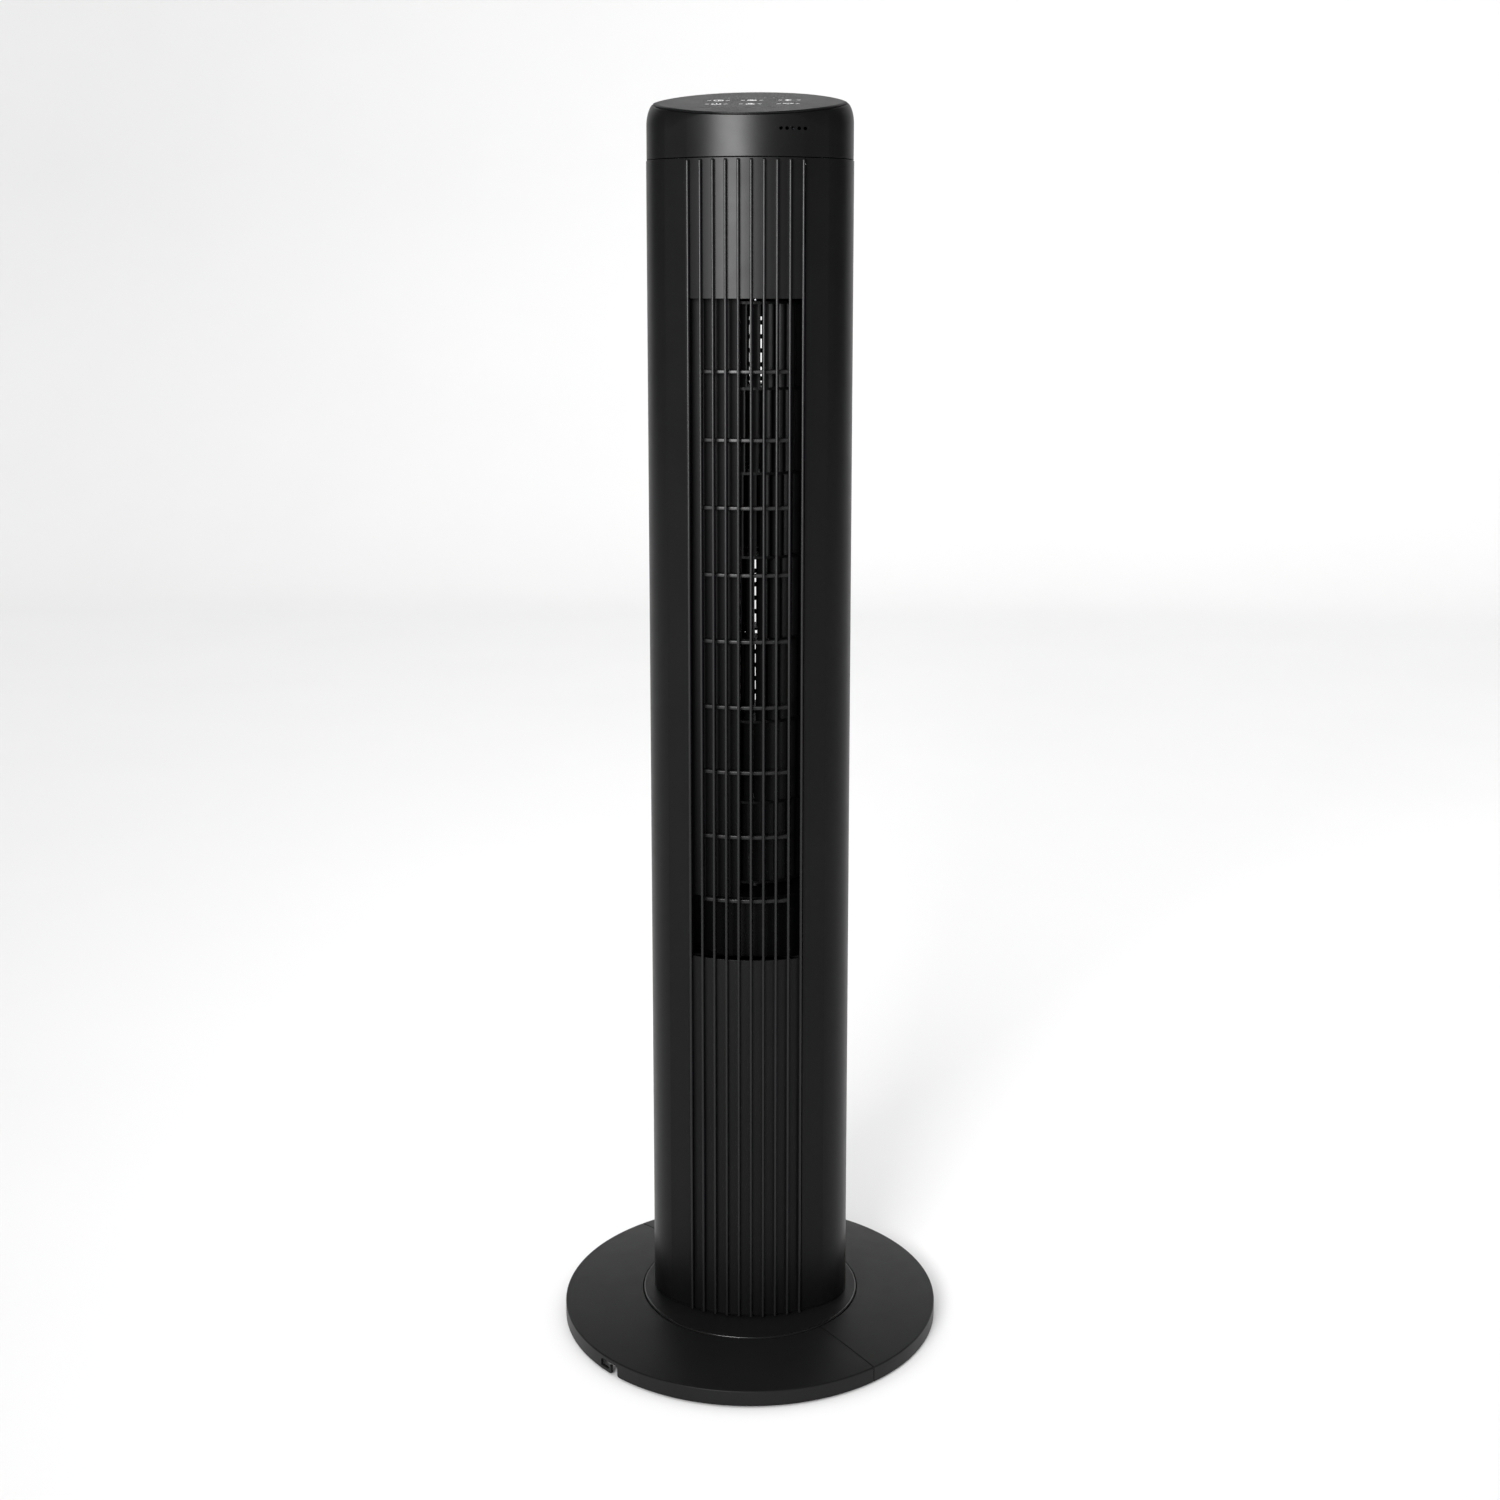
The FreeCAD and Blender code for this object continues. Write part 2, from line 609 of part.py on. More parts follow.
def intake_window(margin):
    """The patch of the back where the intake grille sits, grown by a margin."""
    half = INTAKE_HALF + margin
    return block(-half, half, 10, HALF_DEPTH + 2, INTAKE_BOTTOM - margin, INTAKE_TOP + margin)


def cap_posts():
    """Posts that carry the cap's screws, each tied to the rear shell by a web."""
    pieces = []
    for point in cap_boss_points():
        low = SEAM_HEIGHT - 25
        pieces.append(tube(1.5, BOSS_RADIUS, low, SEAM_HEIGHT - 8, point.x, point.y))
        pieces.append(block(point.x - 1, point.x + 1, point.y + 3, HALF_DEPTH, low, SEAM_HEIGHT - 8))
    return pieces


def board_posts():
    """Four posts on the inside of the back that carry the power board."""
    pieces = []
    for x in (-BOARD_HALF_WIDTH - 5, BOARD_HALF_WIDTH + 5):
        for z in (BOARD_BOTTOM + 7, BOARD_TOP - 7):
            pieces.append(block(x - 2.5, x + 2.5, BOARD_Y + BOARD_THICKNESS, HALF_DEPTH, z - 3, z + 3))
    return pieces


def wire_clips():
    """Ledges on the left wall with a round notch for the wire bundle."""
    pieces = []
    for z in WIRE_CLIP_HEIGHTS:
        clip = block(-HALF_WIDTH, WIRE_X + WIRE_RADIUS / 2, WIRE_Y - 4, WIRE_Y + 4, z, z + 4)
        pieces.append(clip.cut(cylinder(WIRE_RADIUS, z - 1, z + 5, WIRE_X, WIRE_Y)))
    return pieces


def make_rear_shell():
    top = SEAM_HEIGHT - SHADOW_GAP
    shell = section_shell(0, WALL, TOWER_BOTTOM, top)
    shell = shell.common(block(-HALF_WIDTH - 1, HALF_WIDTH + 1, 0.1, HALF_DEPTH + 1, TOWER_BOTTOM, top))
    shell = shell.cut(intake_window(INTAKE_FRAME + 0.4))
    inside = section_solid(WALL / 2, TOWER_BOTTOM, top)
    additions = [boss.common(inside) for boss in side_bosses(BOSS_SPLIT + 0.2, HALF_DEPTH)]
    for point in floor_screw_points():
        if point.y > 0:
            additions.append(cylinder(BOSS_RADIUS + 2, TOWER_BOTTOM, TOWER_BOTTOM + 14, point.x, point.y))
            web = block(point.x - 1, point.x + 1, point.y, HALF_DEPTH, TOWER_BOTTOM, TOWER_BOTTOM + 14)
            additions.append(web.common(inside))
    additions += [piece.common(inside) for piece in board_posts() + wire_clips() + cap_posts()]
    shell = fused([shell] + additions)
    for point in floor_screw_points():
        shell = shell.cut(cylinder(1.5, TOWER_BOTTOM - 1, TOWER_BOTTOM + 12, point.x, point.y))
    for z in BOSS_HEIGHTS:
        for x in (-BOSS_HALF_SPACING, BOSS_HALF_SPACING):
            shell = shell.cut(Part.makeCylinder(1.7, HALF_DEPTH, vec(x, BOSS_SPLIT - 1, z), BACK))
            shell = shell.cut(Part.makeCylinder(3.3, HALF_DEPTH, vec(x, BOSS_SPLIT + 12, z), BACK))
    save("rear_shell", shell)


def make_shell_screws():
    shape = screw(3.1, 2.0, 1.5, 22.0)
    screws = []
    for z in BOSS_HEIGHTS:
        for x in (-BOSS_HALF_SPACING, BOSS_HALF_SPACING):
            screws.append(placed(shape, vec(x, BOSS_SPLIT + 12, z), BACK))
    save("shell_screws", Part.makeCompound(screws))


def make_rear_grille():
    """Slotted intake panel, flush with the back, with a lip that laps inside the rear shell."""
    bottom = INTAKE_BOTTOM - INTAKE_FRAME
    top = INTAKE_TOP + INTAKE_FRAME
    plate = section_shell(0, WALL, bottom, top).common(intake_window(INTAKE_FRAME))
    lip = section_shell(WALL + 0.1, LIP_THICKNESS, bottom - LIP_REACH, top + LIP_REACH)
    lip = lip.common(intake_window(INTAKE_FRAME + LIP_REACH)).cut(intake_window(1.0))
    link = section_shell(WALL / 2, WALL, bottom, top)
    link = link.common(intake_window(INTAKE_FRAME)).cut(intake_window(1.0))
    save("rear_grille", fused([plate, lip, link]).cut(rear_slots()))


# ---------------------------------------------------------------- front panels, fins and bars
def panel_solid(bottom, top):
    """A curved backing plate that fills the front window between two heights."""
    half = PANEL_HALF - 0.15
    plate = section_shell(0, WALL, bottom, top)
    return plate.common(block(-half, half, -HALF_DEPTH - 1, -PANEL_EDGE_DEPTH + WALL + 4, bottom, top))


def fin_profile(x, front, rear):
    """One fin's outline: flat flanks and a round nose."""
    half = FIN_WIDTH / 2
    edges = [
        arc(vec(x - half, front + half), vec(x, front), vec(x + half, front + half)),
        line(vec(x + half, front + half), vec(x + half, rear)),
        line(vec(x + half, rear), vec(x - half, rear)),
        line(vec(x - half, rear), vec(x - half, front + half)),
    ]
    return Part.Face(Part.Wire(edges))


def fin_positions():
    return [(i - (FIN_COUNT - 1) / 2) * FIN_PITCH for i in range(FIN_COUNT)]


def make_front_panels():
    """Curved plates behind the fins, above and below the opening. Returned for the grille to fit over."""
    upper = panel_solid(OPENING_TOP, SEAM_HEIGHT - SHADOW_GAP)
    lower = panel_solid(TOWER_BOTTOM, OPENING_BOTTOM)
    save("upper_front_panel", upper)
    save("lower_front_panel", lower)
    return upper, lower


def make_outlet_grille(panels):
    """Full-height fins, tied by bars across the opening and by a rail at each end of it."""
    bottom = TOWER_BOTTOM + 0.3
    top = SEAM_HEIGHT - FIN_END_GAP
    positions = fin_positions()
    pieces = []
    for x in positions:
        face = -front_depth(x)
        long_fin = fin_profile(x, face - FIN_PROUD, face + WALL)
        long_fin.translate(vec(0, 0, bottom))
        pieces.append(long_fin.extrude(vec(0, 0, top - bottom)))
        deep_bottom = OPENING_BOTTOM - RAIL_HEIGHT
        deep_top = OPENING_TOP + RAIL_HEIGHT
        pieces.append(block(x - FIN_WIDTH / 2, x + FIN_WIDTH / 2, face + WALL / 2, face + FIN_DEPTH,
                            deep_bottom, deep_top))
    inner_half = positions[-2]
    for i in range(BAR_COUNT):
        middle = BAR_TOP - i * BAR_PITCH
        low = middle - BAR_HEIGHT / 2
        bar = section_shell(FIN_DEPTH - BAR_DEPTH, BAR_DEPTH, low, low + BAR_HEIGHT)
        pieces.append(bar.common(block(-inner_half, inner_half, -HALF_DEPTH - 1, -20, 0, SEAM_HEIGHT)))
    outer_half = positions[-1]
    for low in (OPENING_BOTTOM - RAIL_HEIGHT, OPENING_TOP):
        rail = section_shell(WALL + 0.1, FIN_DEPTH - WALL - 0.1, low, low + RAIL_HEIGHT)
        span = block(-outer_half, outer_half, -HALF_DEPTH - 1, -20, low, low + RAIL_HEIGHT)
        pieces.append(rail.common(span))
    grille = fused(pieces)
    for panel in panels:
        grille = grille.cut(panel)
    save("outlet_grille", grille)


# ---------------------------------------------------------------- cap and controls
def panel_slope():
    """Slope of the control panel, rising towards the back."""
    return math.atan2(PANEL_REAR_HEIGHT - PANEL_FRONT_HEIGHT, 2 * HALF_DEPTH)


def below_slope(drop):
    """Everything under a plane parallel to the control panel, a given distance below its face."""
    angle = panel_slope()
    reach = 150.0
    depth = 300.0
    slab = block(-reach, reach, -reach, reach, -depth, -drop)
    slab.rotate(ORIGIN, vec(1, 0, 0), math.degrees(angle))
    middle = (PANEL_FRONT_HEIGHT + PANEL_REAR_HEIGHT) / 2
    slab.translate(vec(0, 0, middle))
    return slab


def rolled_disc(inset, shift):
    """A round body with a rolled top edge, square to the control panel's slope."""
    rim = FACE_ARC_RADIUS - inset
    above = 5.0
    below = -80.0
    bend = math.sqrt(0.5)
    edge = vec(rim, 0, 0)
    shoulder = vec(rim + ROLL_WIDTH, 0, -ROLL_HEIGHT)
    middle = vec(rim + ROLL_WIDTH * bend, 0, -ROLL_HEIGHT * (1 - bend))
    foot = vec(rim + ROLL_WIDTH + ROLL_FLARE * (-ROLL_HEIGHT - below), 0, below)
    edges = [
        line(vec(0, 0, above), vec(rim, 0, above)),
        line(vec(rim, 0, above), edge),
        arc(edge, middle, shoulder),
        line(shoulder, foot),
        line(foot, vec(0, 0, below)),
        line(vec(0, 0, below), vec(0, 0, above)),
    ]
    body = Part.Face(Part.Wire(edges)).revolve(ORIGIN, UP, 360)
    body.translate(vec(0, shift, 0))
    return on_slope(body)


def cap_envelope(inset, bottom):
    """The tower's section, rolled over towards the lens-shaped face at the top."""
    tall = section_solid(inset, bottom, PANEL_REAR_HEIGHT + 10)
    for shift in (-FACE_ARC_SHIFT, FACE_ARC_SHIFT):
        tall = tall.common(rolled_disc(inset, shift))
    return tall


def cap_boss_points():
    return [vec(-58.0, 14.0), vec(58.0, 14.0)]


def make_cap():
    bottom = SEAM_HEIGHT + SHADOW_GAP
    outer = cap_envelope(0, bottom).common(below_slope(CONTROL_THICKNESS + CONTROL_GAP))
    inner = cap_envelope(WALL, bottom - 1)
    cap = outer.cut(inner)
    collar = section_shell(WALL + 0.2, 1.6, SEAM_HEIGHT - 6, bottom + 6)
    link = section_shell(WALL - 0.5, 1.5, bottom + 2, bottom + 6)
    deck = section_solid(WALL / 2, bottom + 8, bottom + 10)
    deck = deck.cut(block(-34, 34, -30, 30, bottom + 7, bottom + 11))
    window = block(-PANEL_HALF - 3, PANEL_HALF + 3, -HALF_DEPTH - 1, -30, SEAM_HEIGHT - 7, bottom)
    collar = collar.cut(window)
    for x in (-BOSS_HALF_SPACING, BOSS_HALF_SPACING):
        collar = collar.cut(block(x - 6, x + 6, -60, 60, SEAM_HEIGHT - 50, bottom))
    cap = fused([cap, collar, link, deck])
    for i in range(VENT_COUNT):
        x = VENT_FIRST_X + i * VENT_PITCH
        cap = cap.cut(Part.makeCylinder(VENT_RADIUS, 30, vec(x, -HALF_DEPTH - 5, VENT_HEIGHT), BACK))
    for point in cap_boss_points():
        cap = cap.cut(cylinder(1.6, bottom, bottom + 20, point.x, point.y))
    save("top_cap", cap)


def make_cap_screws():
    shape = screw(3.0, 1.6, 1.5, 20.0)
    seat = SEAM_HEIGHT + SHADOW_GAP + 10
    screws = [placed(shape, vec(p.x, p.y, seat)) for p in cap_boss_points()]
    save("cap_screws", Part.makeCompound(screws))


def make_control_panel():
    slab = cap_envelope(0, SEAM_HEIGHT).common(below_slope(0))
    plate = slab.cut(below_slope(CONTROL_THICKNESS))
    skirt = cap_envelope(WALL + 0.3, SEAM_HEIGHT).common(below_slope(CONTROL_THICKNESS - 0.5))
    skirt = skirt.cut(below_slope(CONTROL_THICKNESS + 3))
    skirt = skirt.cut(cap_envelope(WALL + 2.0, SEAM_HEIGHT - 1))
    save("control_panel", plate.fuse(skirt))


def on_slope(shape):
    """Lift a shape drawn about the origin, face up, onto the control panel's slope."""
    copy = shape.copy()
    copy.rotate(ORIGIN, vec(1, 0, 0), math.degrees(panel_slope()))
    copy.translate(vec(0, 0, (PANEL_FRONT_HEIGHT + PANEL_REAR_HEIGHT) / 2))
    return copy


def touch_points():
    """Two rows of three touch pads, across the middle of the control panel."""
    return [vec(x, y) for y in TOUCH_ROWS for x in TOUCH_COLUMNS]


def make_control_electronics():
    board_top = -CONTROL_THICKNESS - CONTROL_BOARD_DROP
    board = block(-46, 46, -44, 34, board_top - BOARD_THICKNESS, board_top)
    save("control_board", on_slope(board))
    pads = []
    for point in touch_points():
        pads.append(cylinder(4.0, board_top, -CONTROL_THICKNESS, point.x, point.y))
    save("touch_pads", on_slope(Part.makeCompound(pads)))
    display = block(-13, 13, 18, 30, board_top, -CONTROL_THICKNESS - 0.2)
    save("led_display", on_slope(display))
    buzzer = cylinder(6.0, board_top - 8.0, board_top - BOARD_THICKNESS, 30.0, 8.0)
    save("buzzer", on_slope(buzzer))
    receiver = block(-40, -34, -40, -35, board_top, board_top + 5)
    save("remote_receiver", on_slope(receiver))
    sensor_x = VENT_FIRST_X + VENT_PITCH * (VENT_COUNT - 1) / 2
    sensor_y = -front_depth(sensor_x) + WALL + 4
    bead = Part.makeSphere(1.6, vec(sensor_x, sensor_y, VENT_HEIGHT))
    leg = cylinder(0.8, SEAM_HEIGHT + SHADOW_GAP + 10, VENT_HEIGHT, sensor_x, sensor_y)
    save("temperature_sensor", bead.fuse(leg))


# ---------------------------------------------------------------- cross-flow wheel
def blade_face():
    """One forward-curved blade, drawn from its root circle to the wheel's rim."""
    middle_radius = (BLADE_INNER + WHEEL_RADIUS) / 2
    outer = WHEEL_RADIUS - 0.3
    spread = math.degrees(BLADE_THICKNESS / middle_radius)
    edges = [
        arc(polar(BLADE_INNER, 0), polar(middle_radius, 0.22 * BLADE_LEAN), polar(outer, BLADE_LEAN)),
        line(polar(outer, BLADE_LEAN), polar(outer, BLADE_LEAN + spread)),
        arc(polar(outer, BLADE_LEAN + spread), polar(middle_radius, 0.22 * BLADE_LEAN + spread),
            polar(BLADE_INNER, spread)),
        line(polar(BLADE_INNER, spread), polar(BLADE_INNER, 0)),
    ]
    return Part.Face(Part.Wire(edges))


def wheel_segment():
    """A disc with its ring of blades standing on it, drawn at the origin."""
    height = SEGMENT_PITCH - DISC_THICKNESS
    disc = tube(DISC_BORE, WHEEL_RADIUS, 0, DISC_THICKNESS)
    face = blade_face()
    face.translate(vec(0, 0, DISC_THICKNESS))
    blade = face.extrude(vec(0, 0, height))
    blades = [turned(blade, 360.0 * i / BLADE_COUNT) for i in range(BLADE_COUNT)]
    return fused([disc] + blades)


def make_wheel():
    segment = wheel_segment()
    stagger = 360.0 / BLADE_COUNT / SEGMENTS
    for i in range(SEGMENTS):
        copy = turned(segment, i * stagger)
        copy.translate(vec(AXIS_X, AXIS_Y, WHEEL_BOTTOM + i * SEGMENT_PITCH))
        save("wheel_segment_%d" % (i + 1), copy)
    top = WHEEL_BOTTOM + SEGMENTS * SEGMENT_PITCH
    disc = tube(STUB_RADIUS, WHEEL_RADIUS, top, top + DISC_THICKNESS, AXIS_X, AXIS_Y)
    boss = tube(STUB_RADIUS, 9.0, top - 10, top, AXIS_X, AXIS_Y)
    save("wheel_end_disc", disc.fuse(boss))
    save("stub_shaft", cylinder(STUB_RADIUS, top - 10, CEILING_BOTTOM + 14, AXIS_X, AXIS_Y))
    hub = tube(SHAFT_RADIUS, DISC_BORE, BULKHEAD_TOP + 2, WHEEL_BOTTOM + DISC_THICKNESS, AXIS_X, AXIS_Y)
    flange = tube(DISC_BORE, 17.0, WHEEL_BOTTOM - 2, WHEEL_BOTTOM, AXIS_X, AXIS_Y)
    hub = hub.fuse(flange)
    save("wheel_hub", hub)


# ---------------------------------------------------------------- duct
def make_bulkhead():
    """Floor of the air path, with the curved cowl in front of the motor and a ledge at its foot."""
    low = BULKHEAD_TOP - BULKHEAD_THICKNESS
    foot = OPENING_BOTTOM - 6
    wing_y = AXIS_Y - 10
    round_front = cylinder(COWL_RADIUS, low, BULKHEAD_TOP, AXIS_X, AXIS_Y)
    plate = section_solid(WALL + LIP_THICKNESS + 0.5, low, BULKHEAD_TOP)
    before_wing = block(-HALF_WIDTH, HALF_WIDTH, -HALF_DEPTH - 1, wing_y, low - 1, BULKHEAD_TOP + 1)
    plate = plate.cut(before_wing.cut(round_front))
    cowl = tube(COWL_RADIUS - 2, COWL_RADIUS, foot, low, AXIS_X, AXIS_Y)
    cowl = cowl.common(block(-HALF_WIDTH, HALF_WIDTH, -HALF_DEPTH, wing_y + 2, foot, low))
    wing = block(-PANEL_HALF - 2, AXIS_X - COWL_RADIUS + 2, wing_y, wing_y + 2, foot, low)
    ledge = section_solid(WALL + 0.3, foot, foot + 2)
    ledge = ledge.common(block(-PANEL_HALF + 0.3, PANEL_HALF - 0.3, -HALF_DEPTH, wing_y + 2,
                               foot, foot + 2))
    ledge = ledge.cut(cylinder(COWL_RADIUS - 1, foot - 1, foot + 3, AXIS_X, AXIS_Y))
    floor = fused([plate, cowl, wing, ledge])
    floor = floor.cut(cylinder(DISC_BORE + 3, low - 1, BULKHEAD_TOP + 1, AXIS_X, AXIS_Y))
    floor = floor.cut(wire_channel(low - 1, BULKHEAD_TOP + 1))
    save("duct_floor", floor)


def wire_channel(bottom, top):
    """Clearance at the left wall where the wire bundle passes a plate."""
    return block(-HALF_WIDTH, WIRE_X + 5, WIRE_Y - 6, WIRE_Y + 6, bottom, top)


def bracket_screw_points():
    return [vec(AXIS_X - 30, AXIS_Y), vec(AXIS_X + 30, AXIS_Y)]


def make_ceiling():
    """Roof of the air path, closed up to the fins at the front."""
    top = CEILING_BOTTOM + CEILING_THICKNESS
    front_cut = -PANEL_EDGE_DEPTH + JAMB_DEPTH + 1
    plate = section_solid(WALL + 0.3, CEILING_BOTTOM, top)
    plate = plate.cut(block(-HALF_WIDTH, HALF_WIDTH, -HALF_DEPTH - 1, front_cut,
                            CEILING_BOTTOM - 1, top + 1))
    nose = section_solid(FIN_DEPTH + 0.5, CEILING_BOTTOM, top)
    nose = nose.common(block(-PANEL_HALF + 0.3, PANEL_HALF - 0.3, -HALF_DEPTH, front_cut + 1,
                             CEILING_BOTTOM, top))
    plate = plate.fuse(nose)
    plate = plate.cut(cylinder(12.0, CEILING_BOTTOM - 1, top + 1, AXIS_X, AXIS_Y))
    plate = plate.cut(wire_channel(CEILING_BOTTOM - 1, top + 1))
    for point in bracket_screw_points():
        plate = plate.cut(cylinder(1.5, CEILING_BOTTOM - 1, top + 1, point.x, point.y))
    save("duct_ceiling", plate)


def guide_solid(centre_line, bottom, top):
    """A thin upright wall that follows a bent centre line."""
    wire = Part.Wire(centre_line)
    face = wire.makeOffset2D(GUIDE_THICKNESS / 2, join=0, fill=True, openResult=True)
    face.translate(vec(0, 0, bottom))
    return face.extrude(vec(0, 0, top - bottom))


def flat_wall(start, end, bottom, top):
    """A thin straight upright wall with its middle line between two points."""
    along = end - start
    side = vec(-along.y, along.x)
    side.normalize()
    side = side * (GUIDE_THICKNESS / 2)
    wall = polygon([start - side, end - side, end + side, start + side])
    wall.translate(vec(0, 0, bottom))
    return wall.extrude(vec(0, 0, top - bottom))


def make_duct_walls():
    bottom = BULKHEAD_TOP
    top = CEILING_BOTTOM
    gap = WHEEL_RADIUS + 5.0
    start = vec(AXIS_X, AXIS_Y) + polar(gap - 1.0, 72)
    middle = vec(AXIS_X, AXIS_Y) + polar(gap + 1.5, 30)
    end = vec(PANEL_HALF + 7.0, -14.0)
    jamb_end = -PANEL_EDGE_DEPTH + JAMB_DEPTH + 1.3
    scroll = [arc(start, middle, end), line(end, vec(PANEL_HALF + 1.0, jamb_end))]
    save("scroll_wall", guide_solid(scroll, bottom, top))
    nose = vec(AXIS_X, AXIS_Y) + polar(gap - 2.5, 202.5)
    tongue = [
        line(vec(-PANEL_HALF - 1.0, jamb_end), nose),
        line(nose, vec(-PANEL_HALF - 13.0, nose.y + 10)),
    ]
    shield = flat_wall(vec(-PANEL_HALF - 1.0, jamb_end), vec(SHIELD_TIP_X, SHIELD_TIP_Y), bottom, top)
    save("tongue_wall", guide_solid(tongue, bottom, top).fuse(shield))


def make_top_bearing():
    low = CEILING_BOTTOM + CEILING_THICKNESS
    bush = tube(STUB_RADIUS + 0.05, 6.0, low + 2, low + 10, AXIS_X, AXIS_Y)
    save("top_bearing", bush)
    holder = tube(6.0, 11.0, low + 1, low + 11, AXIS_X, AXIS_Y)
    save("bearing_rubber", holder)
    cup = tube(11.0, 14.0, low, low + 12, AXIS_X, AXIS_Y)
    cup = cup.fuse(tube(9.0, 12.0, low + 11, low + 13, AXIS_X, AXIS_Y))
    arms = block(AXIS_X - 36, AXIS_X + 36, AXIS_Y - 8, AXIS_Y + 8, low, low + 2)
    cup = cup.fuse(arms.cut(cylinder(13.0, low - 1, low + 3, AXIS_X, AXIS_Y)))
    screws = []
    shape = screw(3.0, 1.8, 1.5, 4.4)
    for point in bracket_screw_points():
        cup = cup.cut(cylinder(1.5, low - 1, low + 3, point.x, point.y))
        screws.append(placed(shape, vec(point.x, point.y, low + 2)))
    save("bearing_bracket", cup)
    return screws


# ---------------------------------------------------------------- motors
def make_fan_motor():
    can = tube(CAN_RADIUS - CAN_WALL, CAN_RADIUS, CAN_BOTTOM, CAN_TOP, AXIS_X, AXIS_Y)
    top_plate = tube(8.0, CAN_RADIUS, CAN_TOP - CAN_WALL, CAN_TOP, AXIS_X, AXIS_Y)
    low_plate = tube(8.0, CAN_RADIUS, CAN_BOTTOM, CAN_BOTTOM + CAN_WALL, AXIS_X, AXIS_Y)
    save("motor_can", fused([can, top_plate, low_plate]))
    save("motor_stator", tube(STATOR_INNER, STATOR_OUTER, CAN_BOTTOM + 9, CAN_TOP - 9, AXIS_X, AXIS_Y))
    save("motor_rotor", tube(SHAFT_RADIUS, ROTOR_RADIUS, CAN_BOTTOM + 10, CAN_TOP - 10, AXIS_X, AXIS_Y))
    save("motor_shaft", cylinder(SHAFT_RADIUS, SHAFT_BOTTOM, SHAFT_TOP, AXIS_X, AXIS_Y))
    bushes = []
    for low in (CAN_BOTTOM - 2, CAN_TOP - 4):
        bushes.append(tube(SHAFT_RADIUS + 0.05, 8.0, low, low + 6, AXIS_X, AXIS_Y))
    save("motor_bearings", Part.makeCompound(bushes))


def make_motor_mount():
    """Bracket under the motor, hung from the bulkhead by three posts in rubber rings."""
    low = CAN_BOTTOM - 6
    ceiling = BULKHEAD_TOP - BULKHEAD_THICKNESS
    plate = tube(10.0, CAN_RADIUS, low, low + 2.5, AXIS_X, AXIS_Y)
    rings = []
    bracket_parts = [plate]
    for bearing in MOUNT_BEARINGS:
        centre = vec(AXIS_X, AXIS_Y) + polar(CAN_RADIUS + 8, bearing)
        arm = block(0, CAN_RADIUS + 8, -4, 4, low, low + 2.5)
        arm = turned(arm, bearing)
        arm.translate(vec(AXIS_X, AXIS_Y, 0))
        bracket_parts.append(arm.cut(cylinder(CAN_RADIUS - 5, low - 1, low + 4, AXIS_X, AXIS_Y)))
        bracket_parts.append(cylinder(5.0, low, low + 2.5, centre.x, centre.y))
        bracket_parts.append(cylinder(3.0, low + 2.5, ceiling - 6, centre.x, centre.y))
        rings.append(cylinder(5.0, ceiling - 6, ceiling, centre.x, centre.y))
    save("motor_bracket", fused(bracket_parts))
    save("rubber_isolators", Part.makeCompound(rings))


def make_swing_motor():
    y = pinion_distance() - 6
    low = TOWER_BOTTOM + 1.5
    body = cylinder(SWING_MOTOR_RADIUS, low, low + SWING_MOTOR_HEIGHT, 0, y)
    ears = block(-SWING_MOTOR_RADIUS - 9, SWING_MOTOR_RADIUS + 9, y - 5, y + 5, low, low + 1.5)
    screws = []
    shape = screw(2.6, 1.4, 1.4, 3.0)
    body = body.fuse(ears)
    for x in (-SWING_MOTOR_RADIUS - 5, SWING_MOTOR_RADIUS + 5):
        body = body.fuse(cylinder(4.0, TOWER_BOTTOM, low, x, y))
        body = body.cut(cylinder(1.4, TOWER_BOTTOM - 1, low + 3, x, y))
        screws.append(placed(shape, vec(x, y, low + 1.5)))
    save("swing_motor", body)
    return screws


def make_small_screws(screws):
    save("inner_screws", Part.makeCompound(screws))


# ---------------------------------------------------------------- power electronics
def make_power_electronics():
    ears = []
    for x in (-BOARD_HALF_WIDTH - 8, BOARD_HALF_WIDTH):
        for z in (BOARD_BOTTOM + 2, BOARD_TOP - 12):
            ears.append(block(x, x + 8, BOARD_Y, BOARD_Y + BOARD_THICKNESS, z, z + 10))
    board = block(-BOARD_HALF_WIDTH, BOARD_HALF_WIDTH, BOARD_Y, BOARD_Y + BOARD_THICKNESS,
                  BOARD_BOTTOM, BOARD_TOP)
    save("power_board", fused([board] + ears))
    save("motor_capacitor", block(-34, -4, BOARD_Y - 20, BOARD_Y, 150, 190))
    save("transformer", block(2, 34, BOARD_Y - 26, BOARD_Y, 150, 184))
    relays = [block(-34 + 20 * i, -19 + 20 * i, BOARD_Y - 12, BOARD_Y, 100, 119) for i in range(4)]
    save("relays", Part.makeCompound(relays))


def make_wire_bundle():
    """Wire bundle that climbs the left side, from the power board to the control board."""
    save("wire_bundle", cylinder(WIRE_RADIUS, BOARD_TOP + 5, SEAM_HEIGHT - 8, WIRE_X, WIRE_Y))


# ---------------------------------------------------------------- whole fan
def main():
    os.makedirs("parts", exist_ok=True)
    make_base_halves()
    make_feet()
    make_centre_plate()
    make_swing_gears()
    make_glide_ring()
    make_turntable()
    make_tower_screws()
    retainer_screws = make_retainer()
    make_cord_bushing()
    make_front_shell()
    make_rear_shell()
    make_shell_screws()
    make_rear_grille()
    panels = make_front_panels()
    make_outlet_grille(panels)
    make_cap()
    make_cap_screws()
    make_control_panel()
    make_control_electronics()
    make_wheel()
    make_bulkhead()
    make_ceiling()
    make_duct_walls()
    bracket_screws = make_top_bearing()
    make_fan_motor()
    make_motor_mount()
    swing_screws = make_swing_motor()
    make_small_screws(retainer_screws + bracket_screws + swing_screws)
    make_power_electronics()
    make_wire_bundle()


main()
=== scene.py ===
import json
import math

